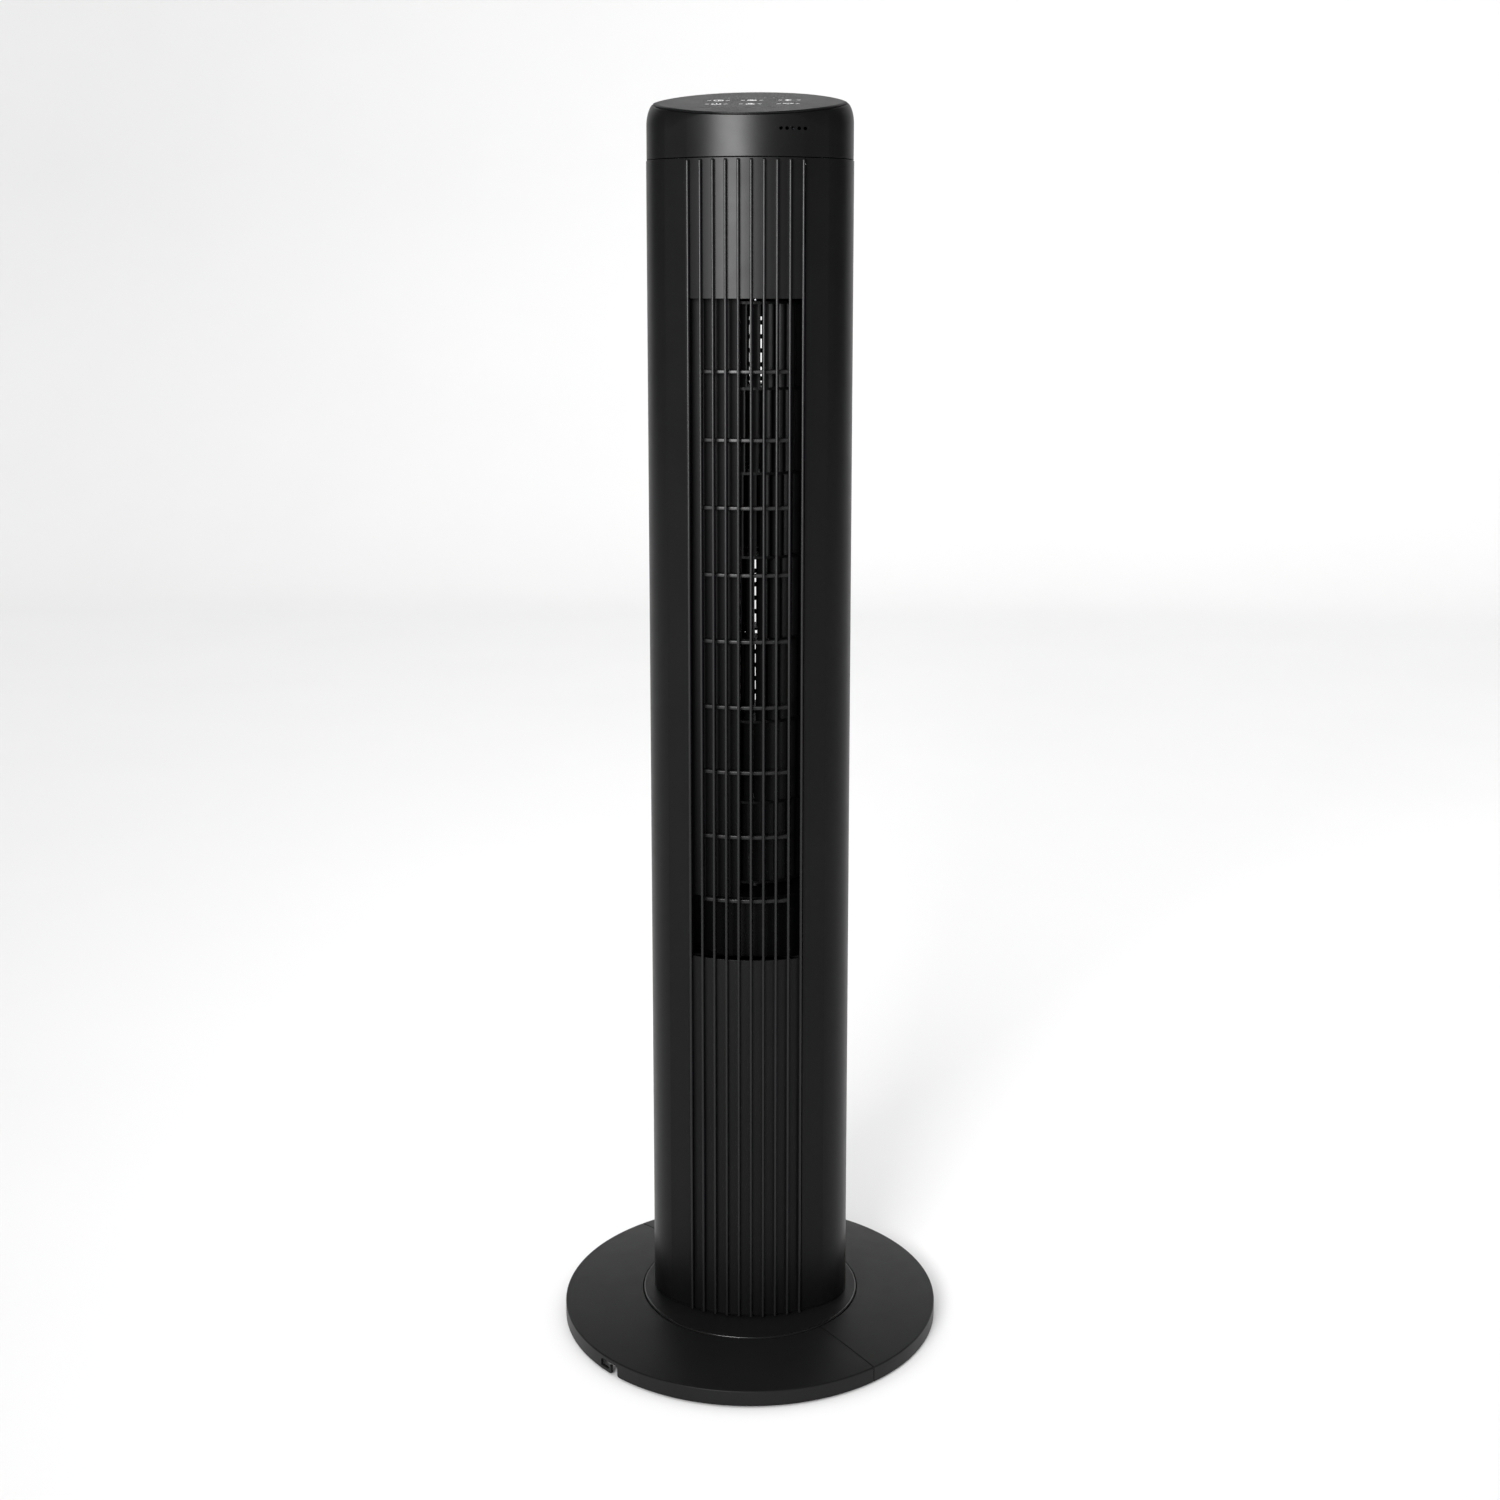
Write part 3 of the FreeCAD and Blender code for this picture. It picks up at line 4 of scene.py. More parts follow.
import bmesh
import bpy
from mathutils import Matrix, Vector


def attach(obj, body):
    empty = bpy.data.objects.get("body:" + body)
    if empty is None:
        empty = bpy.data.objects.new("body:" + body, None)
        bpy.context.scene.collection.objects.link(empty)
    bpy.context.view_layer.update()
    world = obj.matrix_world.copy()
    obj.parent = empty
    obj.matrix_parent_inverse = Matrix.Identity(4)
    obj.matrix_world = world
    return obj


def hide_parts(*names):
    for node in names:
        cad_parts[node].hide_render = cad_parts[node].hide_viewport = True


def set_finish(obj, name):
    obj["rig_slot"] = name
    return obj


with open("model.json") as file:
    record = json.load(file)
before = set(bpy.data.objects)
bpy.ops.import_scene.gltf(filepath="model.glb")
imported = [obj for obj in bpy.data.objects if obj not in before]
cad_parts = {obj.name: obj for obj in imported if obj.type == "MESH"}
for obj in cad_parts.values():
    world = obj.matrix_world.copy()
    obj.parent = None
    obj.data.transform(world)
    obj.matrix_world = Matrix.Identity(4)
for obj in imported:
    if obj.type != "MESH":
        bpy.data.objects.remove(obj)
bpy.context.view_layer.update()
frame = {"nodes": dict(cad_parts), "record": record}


# ---------------------------------------------------------------- driving sizes, in millimetres
MM = 0.001
FEET_HEIGHT = 1.5
BASE_RADIUS = 155.0
BASE_WALL = 2.5
RIM_TOP = 14.2
RIM_ROUND = 1.2
TOP_INNER_HEIGHT = 20.5
TOP_CROWN = 0.5
WELL_RADIUS = 90.0
WELL_ROUND = 0.9
DECK_TOP = 11.5
DECK_BOTTOM = 9.0
DECK_INNER_RADIUS = 34.0
SEAM_BEARING = -47.0          # end of the front half's seam, measured from +X towards +Y
SEAM_GAP = 0.5
NOTCH_BEARING = 94.7          # from the start of a half's sweep
NOTCH_WIDTH = 20.0
NOTCH_TOP = 10.6
NOTCH_ROUND = 2.4
NOTCH_FLARE = 2.4
NOTCH_REACH = 9.0             # how far in from the rim the notch is cut
CUT_BEYOND = 3.0              # how far a cutter passes the surface that it cuts
HOOK_LENGTH = 12.5
HOOK_THICKNESS = 3.2
HOOK_TIP_WIDTH = 2.6
HOOK_TIP_TOP = 8.5

TURNTABLE_RADIUS = 89.4
TURNTABLE_TOP = 21.5
TURNTABLE_ROLL = 0.55         # rolled rim round the top of the turntable
TOWER_BOTTOM = 23.0
HALF_WIDTH = 80.5
HALF_DEPTH = 57.0
PANEL_HALF = 45.0
PANEL_EDGE_DEPTH = 46.4
FACET_HALF = 62.3
FACET_EDGE_DEPTH = 36.6
WALL = 2.5
SEAM_HEIGHT = 949.5
SHADOW_GAP = 0.3
OPENING_BOTTOM = 325.0
OPENING_TOP = 844.7
JAMB_DEPTH = 10.0
JAMB_THICKNESS = 2.0
SPLIT_HALF = 0.1              # half the gap where the two shells meet
TIE_HEIGHTS = (24.0, 160.0, 298.0, 856.0, 925.0)
TIE_WIDTH = 18.0
TIE_THICKNESS = 2.0
TIE_FORWARD = 4.0             # from the inner end of the jambs forward to a tie's face
TIE_OVERLAP = 1.0
BOSS_RADIUS = 4.0
BOSS_HALF_SPACING = 64.0
BOSS_HEIGHTS = (60.0, 300.0, 590.0, 900.0)
BOSS_SPLIT = 8.0
BOSS_FRONT = 26.0             # how far in front of the axis the front bosses begin
BOSS_REAR_GAP = 0.2
BOSS_REAR_LENGTH = 11.5
RECESS_RADIUS = 3.3
RECESS_DEPTH = 12.0           # from the boss split to the seat of a screw head

FIN_COUNT = 10
FIN_PITCH = 9.74
FIN_WIDTH = 2.0
FIN_PROUD = 4.2
FIN_DEPTH = 8.0
FIN_END_GAP = 1.2
FIN_END_ROUND = 1.4
FIN_FOOT_ROUND = 0.5
FIN_SINK = 0.3                # how far a fin's root goes into the panel behind it
BAR_COUNT = 9
BAR_TOP = 789.6
BAR_PITCH = 52.17
BAR_HEIGHT = 3.0
BAR_DEPTH = 4.0
RAIL_HEIGHT = 4.0

INTAKE_HALF = 52.0
INTAKE_BOTTOM = 384.0
INTAKE_TOP = 836.0
INTAKE_ROWS = 40
INTAKE_COLUMNS = 5
SLAT_HEIGHT = 3.8
MULLION_WIDTH = 4.0
INTAKE_FRAME = 4.6
INTAKE_CLEARANCE = 0.4
INTAKE_CORNER = 2.0

PANEL_FRONT_HEIGHT = 981.6
PANEL_REAR_HEIGHT = 1006.4
CONTROL_THICKNESS = 1.2
CONTROL_GAP = 0.4
CREASE_ROUND = 0.45           # crisp front edge of the control panel
FACE_ARC_RADIUS = 74.9        # the panel's face is a lens between two arcs that meet at its ends
FACE_ARC_SHIFT = 18.8
ROLL_WIDTH = 8.0              # where the face's edge is this far in, the roll has its full height
ROLL_HEIGHT = 17.0
CAP_INSET = 0.4               # the cap is a touch narrower than the shells under it
CAP_SIDE_HEIGHT = 17.0        # height of the cap's side that is upright all the way round
CAP_WALL = 1.6
LEDGE_STEP = 0.6              # width of the ledge that the control panel lies on
LEDGE_DROP = 2.0
VENT_COUNT = 5
VENT_PITCH = 4.45
VENT_FIRST_X = 26.8
VENT_HEIGHT = 970.4
VENT_RADIUS = 1.35


MARK_LIFT = 0.03               # printed marks stand this far above the panel's face
MARK_SINK = 0.3
MARK_COLUMNS = (-25.0, 1.0, 30.0)
MARK_ROWS = (-12.0, 9.0)
MARK_RADIUS = 3.5
MARK_LINE = 0.95
MARK_BAR_OFFSET = 3.6          # from the edge of an icon to the middle of the short bar beside it
MARK_BAR_HALF = 1.5
LIGHT_COUNT = 7
LIGHT_FIRST_X = -18.0
LIGHT_PITCH = 7.0
LIGHT_ROW = 22.0
LIGHT_RADIUS = 0.8

SHARP_ANGLE = 35.0             # in degrees: edges that turn by more than this stay crisp
CAP_SHARP_ANGLE = 40.0


# ---------------------------------------------------------------- materials
def node_tree(name):
    """A new material with an empty Principled shader, ready for its textures."""
    material = bpy.data.materials.new(name)
    material.use_nodes = True
    nodes = material.node_tree.nodes
    shader = nodes["Principled BSDF"]
    return material, nodes, material.node_tree.links, shader


def moulded_plastic(name, colour, roughness, grain=0.0, grain_scale=2600.0, mottle=0.25, specular=0.12):
    """Injection-moulded plastic: a faint drift of colour and gloss, and a fine moulded grain."""
    material, nodes, links, shader = node_tree(name)
    shader.inputs["Specular IOR Level"].default_value = specular
    place = nodes.new("ShaderNodeTexCoord")
    drift = nodes.new("ShaderNodeTexNoise")
    drift.inputs["Scale"].default_value = 14.0
    drift.inputs["Detail"].default_value = 3.0
    links.new(place.outputs["Object"], drift.inputs["Vector"])
    tint = nodes.new("ShaderNodeMix")
    tint.data_type = "RGBA"
    dark = [channel * (1.0 - mottle) for channel in colour]
    light = [channel * (1.0 + mottle) for channel in colour]
    tint.inputs["A"].default_value = (*dark, 1.0)
    tint.inputs["B"].default_value = (*light, 1.0)
    links.new(drift.outputs["Fac"], tint.inputs["Factor"])
    links.new(tint.outputs["Result"], shader.inputs["Base Color"])
    smear = nodes.new("ShaderNodeTexNoise")
    smear.inputs["Scale"].default_value = 55.0
    smear.inputs["Detail"].default_value = 4.0
    links.new(place.outputs["Object"], smear.inputs["Vector"])
    gloss = nodes.new("ShaderNodeMapRange")
    gloss.inputs["To Min"].default_value = roughness * 0.88
    gloss.inputs["To Max"].default_value = roughness * 1.12
    links.new(smear.outputs["Fac"], gloss.inputs["Value"])
    links.new(gloss.outputs["Result"], shader.inputs["Roughness"])
    if grain:
        pores = nodes.new("ShaderNodeTexNoise")
        pores.inputs["Scale"].default_value = grain_scale
        pores.inputs["Detail"].default_value = 2.0
        links.new(place.outputs["Object"], pores.inputs["Vector"])
        bump = nodes.new("ShaderNodeBump")
        bump.inputs["Strength"].default_value = grain
        bump.inputs["Distance"].default_value = 0.05 * MM
        links.new(pores.outputs["Fac"], bump.inputs["Height"])
        links.new(bump.outputs["Normal"], shader.inputs["Normal"])
    return material


def metal(name, colour, roughness):
    """Plated steel or bronze with a fine brushed streak."""
    material, nodes, links, shader = node_tree(name)
    shader.inputs["Metallic"].default_value = 1.0
    place = nodes.new("ShaderNodeTexCoord")
    stretch = nodes.new("ShaderNodeMapping")
    stretch.inputs["Scale"].default_value = (40.0, 40.0, 900.0)
    links.new(place.outputs["Object"], stretch.inputs["Vector"])
    streak = nodes.new("ShaderNodeTexNoise")
    streak.inputs["Scale"].default_value = 1.0
    streak.inputs["Detail"].default_value = 5.0
    links.new(stretch.outputs["Vector"], streak.inputs["Vector"])
    tint = nodes.new("ShaderNodeMix")
    tint.data_type = "RGBA"
    tint.inputs["A"].default_value = (*[channel * 0.82 for channel in colour], 1.0)
    tint.inputs["B"].default_value = (*colour, 1.0)
    links.new(streak.outputs["Fac"], tint.inputs["Factor"])
    links.new(tint.outputs["Result"], shader.inputs["Base Color"])
    gloss = nodes.new("ShaderNodeMapRange")
    gloss.inputs["To Min"].default_value = roughness * 0.8
    gloss.inputs["To Max"].default_value = roughness * 1.25
    links.new(streak.outputs["Fac"], gloss.inputs["Value"])
    links.new(gloss.outputs["Result"], shader.inputs["Roughness"])
    return material


RECORD_SLOTS = [material["slot"] for material in frame["record"]["materials"]]
BLACK = (0.0030, 0.0030, 0.0031)
MATERIALS = {
    "shell_plastic": moulded_plastic("shell_plastic", BLACK, 0.34, 0.25),
    "base_plastic": moulded_plastic("base_plastic", (0.0068, 0.0068, 0.0069), 0.42, 0.3, specular=0.17),
    "front_plastic": moulded_plastic("front_plastic", BLACK, 0.4, 0.12),
    "fin_plastic": moulded_plastic("fin_plastic", (0.008, 0.008, 0.0082), 0.34, 0.1, specular=0.19),
    "cap_plastic": moulded_plastic("cap_plastic", BLACK, 0.36, 0.15, specular=0.125),
    "panel_gloss": moulded_plastic("panel_gloss", (0.0045, 0.0045, 0.0047), 0.34, specular=0.055),
    "wheel_plastic": moulded_plastic("wheel_plastic", (0.0025, 0.0025, 0.0026), 0.38, 0.2, specular=0.07),
    "duct_plastic": moulded_plastic("duct_plastic", (0.0025, 0.0025, 0.0026), 0.5, 0.3, specular=0.06),
    "gear_plastic": moulded_plastic("gear_plastic", (0.72, 0.71, 0.67), 0.45, 0.2, mottle=0.04),
    "rubber": moulded_plastic("rubber", (0.012, 0.012, 0.012), 0.75, 0.6, 1500.0, specular=0.3),
    "plated_steel": metal("plated_steel", (0.6, 0.6, 0.62), 0.34),
    "screw_steel": metal("screw_steel", (0.42, 0.43, 0.45), 0.3),
    "stator_steel": metal("stator_steel", (0.2, 0.19, 0.19), 0.5),
    "bearing_bronze": metal("bearing_bronze", (0.6, 0.42, 0.2), 0.4),
    "brass_spring": metal("brass_spring", (0.8, 0.6, 0.28), 0.25),
    "circuit_board": moulded_plastic("circuit_board", (0.01, 0.09, 0.035), 0.4, 0.2, mottle=0.3),
    "icon_print": moulded_plastic("icon_print", (0.6, 0.6, 0.6), 0.5, mottle=0.1),
    "rim_gloss": moulded_plastic("rim_gloss", (0.0045, 0.0045, 0.0046), 0.22, specular=0.9),
    "light_lens": moulded_plastic("light_lens", (0.16, 0.16, 0.17), 0.3, mottle=0.1),
    "electrical_plastic": moulded_plastic("electrical_plastic", (0.010, 0.011, 0.013), 0.4, 0.2),
}


def dress_cad_nodes():
    """Give every carried-over node the procedural material of its slot."""
    slots = {part["node"]: part["material_slot"] for part in frame["record"]["subparts"]}
    for name, node in frame["nodes"].items():
        node.data.materials.clear()
        node.data.materials.append(MATERIALS[slots[name]])


# ---------------------------------------------------------------- mesh helpers
def flat(x, y):
    return Vector((x, y))


def circle_through(a, b, c):
    """Centre and radius of the circle through three points."""
    d = 2 * (a.x * (b.y - c.y) + b.x * (c.y - a.y) + c.x * (a.y - b.y))
    aa, bb, cc = a.length_squared, b.length_squared, c.length_squared
    x = (aa * (b.y - c.y) + bb * (c.y - a.y) + cc * (a.y - b.y)) / d
    y = (aa * (c.x - b.x) + bb * (a.x - c.x) + cc * (b.x - a.x)) / d
    centre = flat(x, y)
    return centre, (a - centre).length


def arc_path(a, b, c, count):
    """Points along the circular arc from a through b to c."""
    centre, radius = circle_through(a, b, c)
    start, middle, end = (math.atan2(p.y - centre.y, p.x - centre.x) for p in (a, b, c))
    full = 2 * math.pi
    turn = (end - start) % full
    if (middle - start) % full > turn:
        turn -= full
    steps = [start + turn * i / count for i in range(count + 1)]
    return [centre + radius * flat(math.cos(t), math.sin(t)) for t in steps]


def offset(path, distance, closed=True):
    """A path moved to its left by a distance, which is inwards on an anticlockwise outline."""
    moved = []
    last = len(path) - 1
    for i, here in enumerate(path):
        before = path[i - 1] if closed or i else here - (path[1] - here)
        after = path[(i + 1) % len(path)] if closed or i < last else here + (here - path[i - 1])
        one = (here - before).normalized()
        two = (after - here).normalized()
        normal = flat(-one.y - two.y, one.x + two.x).normalized()
        stretch = max(normal.dot(flat(-one.y, one.x)), 0.4)
        moved.append(here + normal * (distance / stretch))
    return moved


def soften(outline, radius, steps=3, least=8.0):
    """A closed outline with every corner sharper than `least` degrees turned into a small arc."""
    soft = []
    for i, here in enumerate(outline):
        before = outline[i - 1] - here
        after = outline[(i + 1) % len(outline)] - here
        turn = math.pi - before.angle(after)
        if turn < math.radians(least):
            soft.append(here)
            continue
        reach = min(radius * math.tan(turn / 2), 0.45 * before.length, 0.45 * after.length)
        start = here + before.normalized() * reach
        end = here + after.normalized() * reach
        for k in range(steps + 1):
            t = k / steps
            soft.append(start * (1 - t) ** 2 + here * (2 * t * (1 - t)) + end * t ** 2)
    return soft


def loft_into(points, faces, rings, looped=False):
    """Add the skin over a row of equal closed rings, with a cap on each end unless the row is a loop."""
    first = len(points)
    count = len(rings[0])
    for ring in rings:
        points.extend(ring)
    spans = len(rings) if looped else len(rings) - 1
    for i in range(spans):
        a = first + i * count
        b = first + ((i + 1) % len(rings)) * count
        for j in range(count):
            k = (j + 1) % count
            faces.append((a + j, a + k, b + k, b + j))
    if not looped:
        faces.append(tuple(range(first + count - 1, first - 1, -1)))
        faces.append(tuple(range(first + (len(rings) - 1) * count, first + len(rings) * count)))


def prism_rings(outline, low, high, roundness, steps=3):
    """Rings for an upright piece with rounded end edges."""
    rings = []
    for k in range(steps + 1):
        a = math.pi / 2 * k / steps
        ring = offset(outline, roundness * (1 - math.sin(a)))
        z = low + roundness * (1 - math.cos(a))
        rings.append([Vector((p.x, p.y, z)) for p in ring])
    for k in range(steps, -1, -1):
        a = math.pi / 2 * k / steps
        ring = offset(outline, roundness * (1 - math.sin(a)))
        z = high - roundness * (1 - math.cos(a))
        rings.append([Vector((p.x, p.y, z)) for p in ring])
    return rings


def piece(name, points, faces, slot_name, sharp=SHARP_ANGLE):
    """A finished mesh piece from points in millimetres, shaded smooth between its real edges."""
    mesh = bpy.data.meshes.new(name)
    mesh.from_pydata([p * MM for p in points], [], faces)
    tidy = bmesh.new()
    tidy.from_mesh(mesh)
    bmesh.ops.recalc_face_normals(tidy, faces=tidy.faces)
    tidy.to_mesh(mesh)
    tidy.free()
    for face in mesh.polygons:
        face.use_smooth = True
    mesh.set_sharp_from_angle(angle=math.radians(sharp))
    mesh.materials.append(MATERIALS[slot_name])
    made = bpy.data.objects.new(name, mesh)
    bpy.context.collection.objects.link(made)
    if slot_name in RECORD_SLOTS:
        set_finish(made, slot_name)
    return made


def smooth_shading(made):
    """Keep large faces evenly shaded beside small rounded edges."""
    weighted = made.modifiers.new("weighted_normals", "WEIGHTED_NORMAL")
    weighted.keep_sharp = True
    weighted.weight = 80


def carve(made, cutters):
    """Cut shapes out of a piece, then keep the new edges sharp."""
    points, faces = [], []
    for rings in cutters:
        loft_into(points, faces, rings)
    tool = piece(made.name + "_cutter", points, faces, made["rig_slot"])
    cut = made.modifiers.new("carve", "BOOLEAN")
    cut.operation = "DIFFERENCE"
    cut.solver = "EXACT"
    cut.object = tool
    graph = bpy.context.evaluated_depsgraph_get()
    carved = bpy.data.meshes.new_from_object(made.evaluated_get(graph))
    made.modifiers.clear()
    made.data = carved
    carved.set_sharp_from_angle(angle=math.radians(SHARP_ANGLE))
    bpy.data.objects.remove(tool)


def add_solid(made, rings_list):
    """Join more lofted solids into a piece."""
    points, faces = [], []
    for rings in rings_list:
        loft_into(points, faces, rings)
    extra = piece(made.name + "_extra", points, faces, made["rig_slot"])
    joined = bmesh.new()
    joined.from_mesh(made.data)
    joined.from_mesh(extra.data)
    joined.to_mesh(made.data)
    joined.free()
    bpy.data.objects.remove(extra)


def rod_rings(centre, radius, axis, length, count=24):
    """Rings for a round rod or a round hole: centre of one end, radius, direction and length."""
    axis = Vector(axis).normalized()
    across = axis.orthogonal().normalized()
    up = axis.cross(across)
    start = Vector(centre)
    rings = []
    for distance in (0.0, length):
        middle = start + axis * distance
        ring = []
        for i in range(count):
            t = 2 * math.pi * i / count
            ring.append(middle + (across * math.cos(t) + up * math.sin(t)) * radius)
        rings.append(ring)
    return rings


def box_rings(x0, x1, y0, y1, z0, z1, roundness=0.3):
    outline = soften([flat(x0, y0), flat(x1, y0), flat(x1, y1), flat(x0, y1)], 2 * roundness)
    return prism_rings(outline, z0, z1, roundness, 2)


# ---------------------------------------------------------------- tower section
FRONT_LEFT = flat(-PANEL_HALF, -PANEL_EDGE_DEPTH)
FRONT_RIGHT = flat(PANEL_HALF, -PANEL_EDGE_DEPTH)
FACET_LEFT = flat(-FACET_HALF, -FACET_EDGE_DEPTH)
FACET_RIGHT = flat(FACET_HALF, -FACET_EDGE_DEPTH)
BACK_LEFT = flat(-FACET_HALF, FACET_EDGE_DEPTH)
BACK_RIGHT = flat(FACET_HALF, FACET_EDGE_DEPTH)


def front_arc(count=60):
    return arc_path(FRONT_LEFT, flat(0, -HALF_DEPTH), FRONT_RIGHT, count)


def right_arc(count=48):
    return arc_path(FACET_RIGHT, flat(HALF_WIDTH, 0), BACK_RIGHT, count)


def rear_arc(count=60):
    return arc_path(BACK_RIGHT, flat(0, HALF_DEPTH), BACK_LEFT, count)


def left_arc(count=48):
    return arc_path(BACK_LEFT, flat(-HALF_WIDTH, 0), FACET_LEFT, count)


def facet(start, end, count=8):
    return [start.lerp(end, i / count) for i in range(1, count)]


def section_outline():
    """The tower's closed outline, anticlockwise from the left end of the ribbed front."""
    outline = front_arc()
    outline += facet(FRONT_RIGHT, FACET_RIGHT)
    outline += right_arc()
    outline += rear_arc()[1:]
    outline += left_arc()[1:]
    outline += facet(FACET_LEFT, FRONT_LEFT)
    return outline


def front_face_y(x):
    """Y of the ribbed front's face at a given x."""
    centre, radius = circle_through(FRONT_LEFT, flat(0, -HALF_DEPTH), FRONT_RIGHT)
    return centre.y - math.sqrt(radius ** 2 - (x - centre.x) ** 2)


def rear_face_y(x):
    centre, radius = circle_through(BACK_RIGHT, flat(0, HALF_DEPTH), BACK_LEFT)
    return centre.y + math.sqrt(radius ** 2 - (x - centre.x) ** 2)


def mirrored(path):
    return [flat(-p.x, p.y) for p in reversed(path)]


# ---------------------------------------------------------------- base
def base_profile():
    """Half section of a base moulding, as radius and height."""
    top = arc_path(
        flat(BASE_RADIUS - RIM_ROUND, RIM_TOP),
        flat((BASE_RADIUS + WELL_RADIUS) / 2, (RIM_TOP + TOP_INNER_HEIGHT) / 2 + TOP_CROWN),
        flat(WELL_RADIUS, TOP_INNER_HEIGHT),
        16,
    )
    rim = arc_path(
        flat(BASE_RADIUS, RIM_TOP - RIM_ROUND),
        flat(BASE_RADIUS - RIM_ROUND * (1 - math.sqrt(0.5)), RIM_TOP - RIM_ROUND * (1 - math.sqrt(0.5))),
        flat(BASE_RADIUS - RIM_ROUND, RIM_TOP),
        6,
    )
    corners = [flat(BASE_RADIUS - BASE_WALL, FEET_HEIGHT), flat(BASE_RADIUS, FEET_HEIGHT)]
    under = [
        flat(WELL_RADIUS, DECK_TOP),
        flat(DECK_INNER_RADIUS, DECK_TOP),
        flat(DECK_INNER_RADIUS, DECK_BOTTOM),
        flat(WELL_RADIUS + BASE_WALL, DECK_BOTTOM),
        flat(WELL_RADIUS + BASE_WALL, TOP_INNER_HEIGHT - BASE_WALL),
        flat(BASE_RADIUS - BASE_WALL, RIM_TOP - BASE_WALL),
    ]
    return soften(corners + rim + top[1:] + under, WELL_ROUND, 4, 30.0)


def notch_cutter(bearing):
    """The cord notch as a solid that passes through the rim."""
    half = NOTCH_WIDTH / 2
    foot = arc_path(flat(half + NOTCH_FLARE, FEET_HEIGHT - 0.01),
                    flat(half + 0.3 * NOTCH_FLARE, FEET_HEIGHT + 0.3 * NOTCH_FLARE),
                    flat(half, FEET_HEIGHT + NOTCH_FLARE), 6)
    outline = [flat(-half, FEET_HEIGHT - CUT_BEYOND), flat(half + NOTCH_FLARE, FEET_HEIGHT - CUT_BEYOND)]
    outline += foot + [flat(half, NOTCH_TOP), flat(-half, NOTCH_TOP)]
    outline = soften(outline, NOTCH_ROUND, 6, 60.0)
    reaches = (BASE_RADIUS + CUT_BEYOND, BASE_RADIUS - NOTCH_REACH)
    return [rim_ring(outline, bearing, radius) for radius in reaches]


def rim_ring(outline, bearing, radius):
    """An outline drawn along the rim and up it, stood on the rim at a bearing."""
    angle = math.radians(bearing)
    out = Vector((math.cos(angle), math.sin(angle), 0.0))
    along = Vector((-math.sin(angle), math.cos(angle), 0.0))
    ring = []
    for p in outline:
        reach = math.sqrt(max(radius ** 2 - p.x ** 2, 0.0))
        ring.append(out * reach + along * p.x + Vector((0, 0, p.y)))
    return ring


def hook_rings(bearing):
    """J-shaped finger along the foot of the notch."""
    root = -NOTCH_WIDTH / 2 - 1
    tip = -NOTCH_WIDTH / 2 + HOOK_LENGTH
    outline = [
        flat(root, FEET_HEIGHT),
        flat(tip, FEET_HEIGHT),
        flat(tip, HOOK_TIP_TOP),
        flat(tip - HOOK_TIP_WIDTH, HOOK_TIP_TOP),
        flat(tip - HOOK_TIP_WIDTH, FEET_HEIGHT + HOOK_THICKNESS),
        flat(root, FEET_HEIGHT + HOOK_THICKNESS),
    ]
    outline = soften(outline, HOOK_TIP_WIDTH / 2, 5)
    edge = 0.3
    small = offset(outline, edge)
    return [
        rim_ring(small, bearing, BASE_RADIUS),
        rim_ring(outline, bearing, BASE_RADIUS - edge),
        rim_ring(outline, bearing, BASE_RADIUS - BASE_WALL + edge),
        rim_ring(small, bearing, BASE_RADIUS - BASE_WALL),
    ]


def make_base_half(name, node, first_bearing):
    """One base moulding, swept over half a turn from its seam."""
    profile = base_profile()
    edge = 0.35
    steps = 120
    rings = []
    stops = [(0.0, edge), (0.0, 0.0)] + [(180.0 * i / steps, 0.0) for i in range(1, steps)]
    stops += [(180.0, 0.0), (180.0, edge)]
    for turn, inset_by in stops:
        ring = offset(profile, inset_by) if inset_by else profile
        clearance = SEAM_GAP / 2 + (edge - inset_by if turn in (0.0, 180.0) else 0.0)
        placed = []
        for p in ring:
            least = math.asin(clearance / p.x)
            angle = min(max(math.radians(turn), least), math.pi - least) + math.radians(first_bearing)
            placed.append(Vector((p.x * math.cos(angle), p.x * math.sin(angle), p.y)))
        rings.append(placed)
    points, faces = [], []
    loft_into(points, faces, rings)
    made = piece(name, points, faces, "base_plastic")
    middle = first_bearing + NOTCH_BEARING
    carve(made, [notch_cutter(middle)])
    add_solid(made, [hook_rings(middle)])
    smooth_shading(made)
    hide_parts(node)
    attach(made, "base")


# ---------------------------------------------------------------- tower shells
def make_turntable_rim():
    """Rolled rim round the top of the turntable, which catches a thin line of light."""
    steps = 12
    profile = []
    for k in range(steps):
        t = 2 * math.pi * k / steps
        profile.append(flat(TURNTABLE_RADIUS - 0.9 + TURNTABLE_ROLL * math.cos(t),
                            TURNTABLE_TOP - TURNTABLE_ROLL + TURNTABLE_ROLL * math.sin(t)))
    count = 180
    rings = []
    for i in range(count):
        angle = 2 * math.pi * i / count
        rings.append([Vector((p.x * math.cos(angle), p.x * math.sin(angle), p.y)) for p in profile])
    points, faces = [], []
    loft_into(points, faces, rings, looped=True)
    rim = piece("turntable_rim", points, faces, "rim_gloss")
    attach(rim, "tower")


def side_strip():
    """Plan of the left front strip: side, facet and the jamb that turns in beside the fins."""
    side = [p for p in left_arc(60) if p.y <= -SPLIT_HALF]
    side.insert(0, flat(-HALF_WIDTH, -SPLIT_HALF))
    outer = side + facet(FACET_LEFT, FRONT_LEFT) + [FRONT_LEFT]
    jamb_end = -PANEL_EDGE_DEPTH + JAMB_DEPTH
    inner = [p for p in offset(outer, WALL, False) if p.x < -PANEL_HALF - JAMB_THICKNESS - 0.2]
    jamb = [flat(-PANEL_HALF, jamb_end), flat(-PANEL_HALF - JAMB_THICKNESS, jamb_end)]
    return outer + jamb + list(reversed(inner))


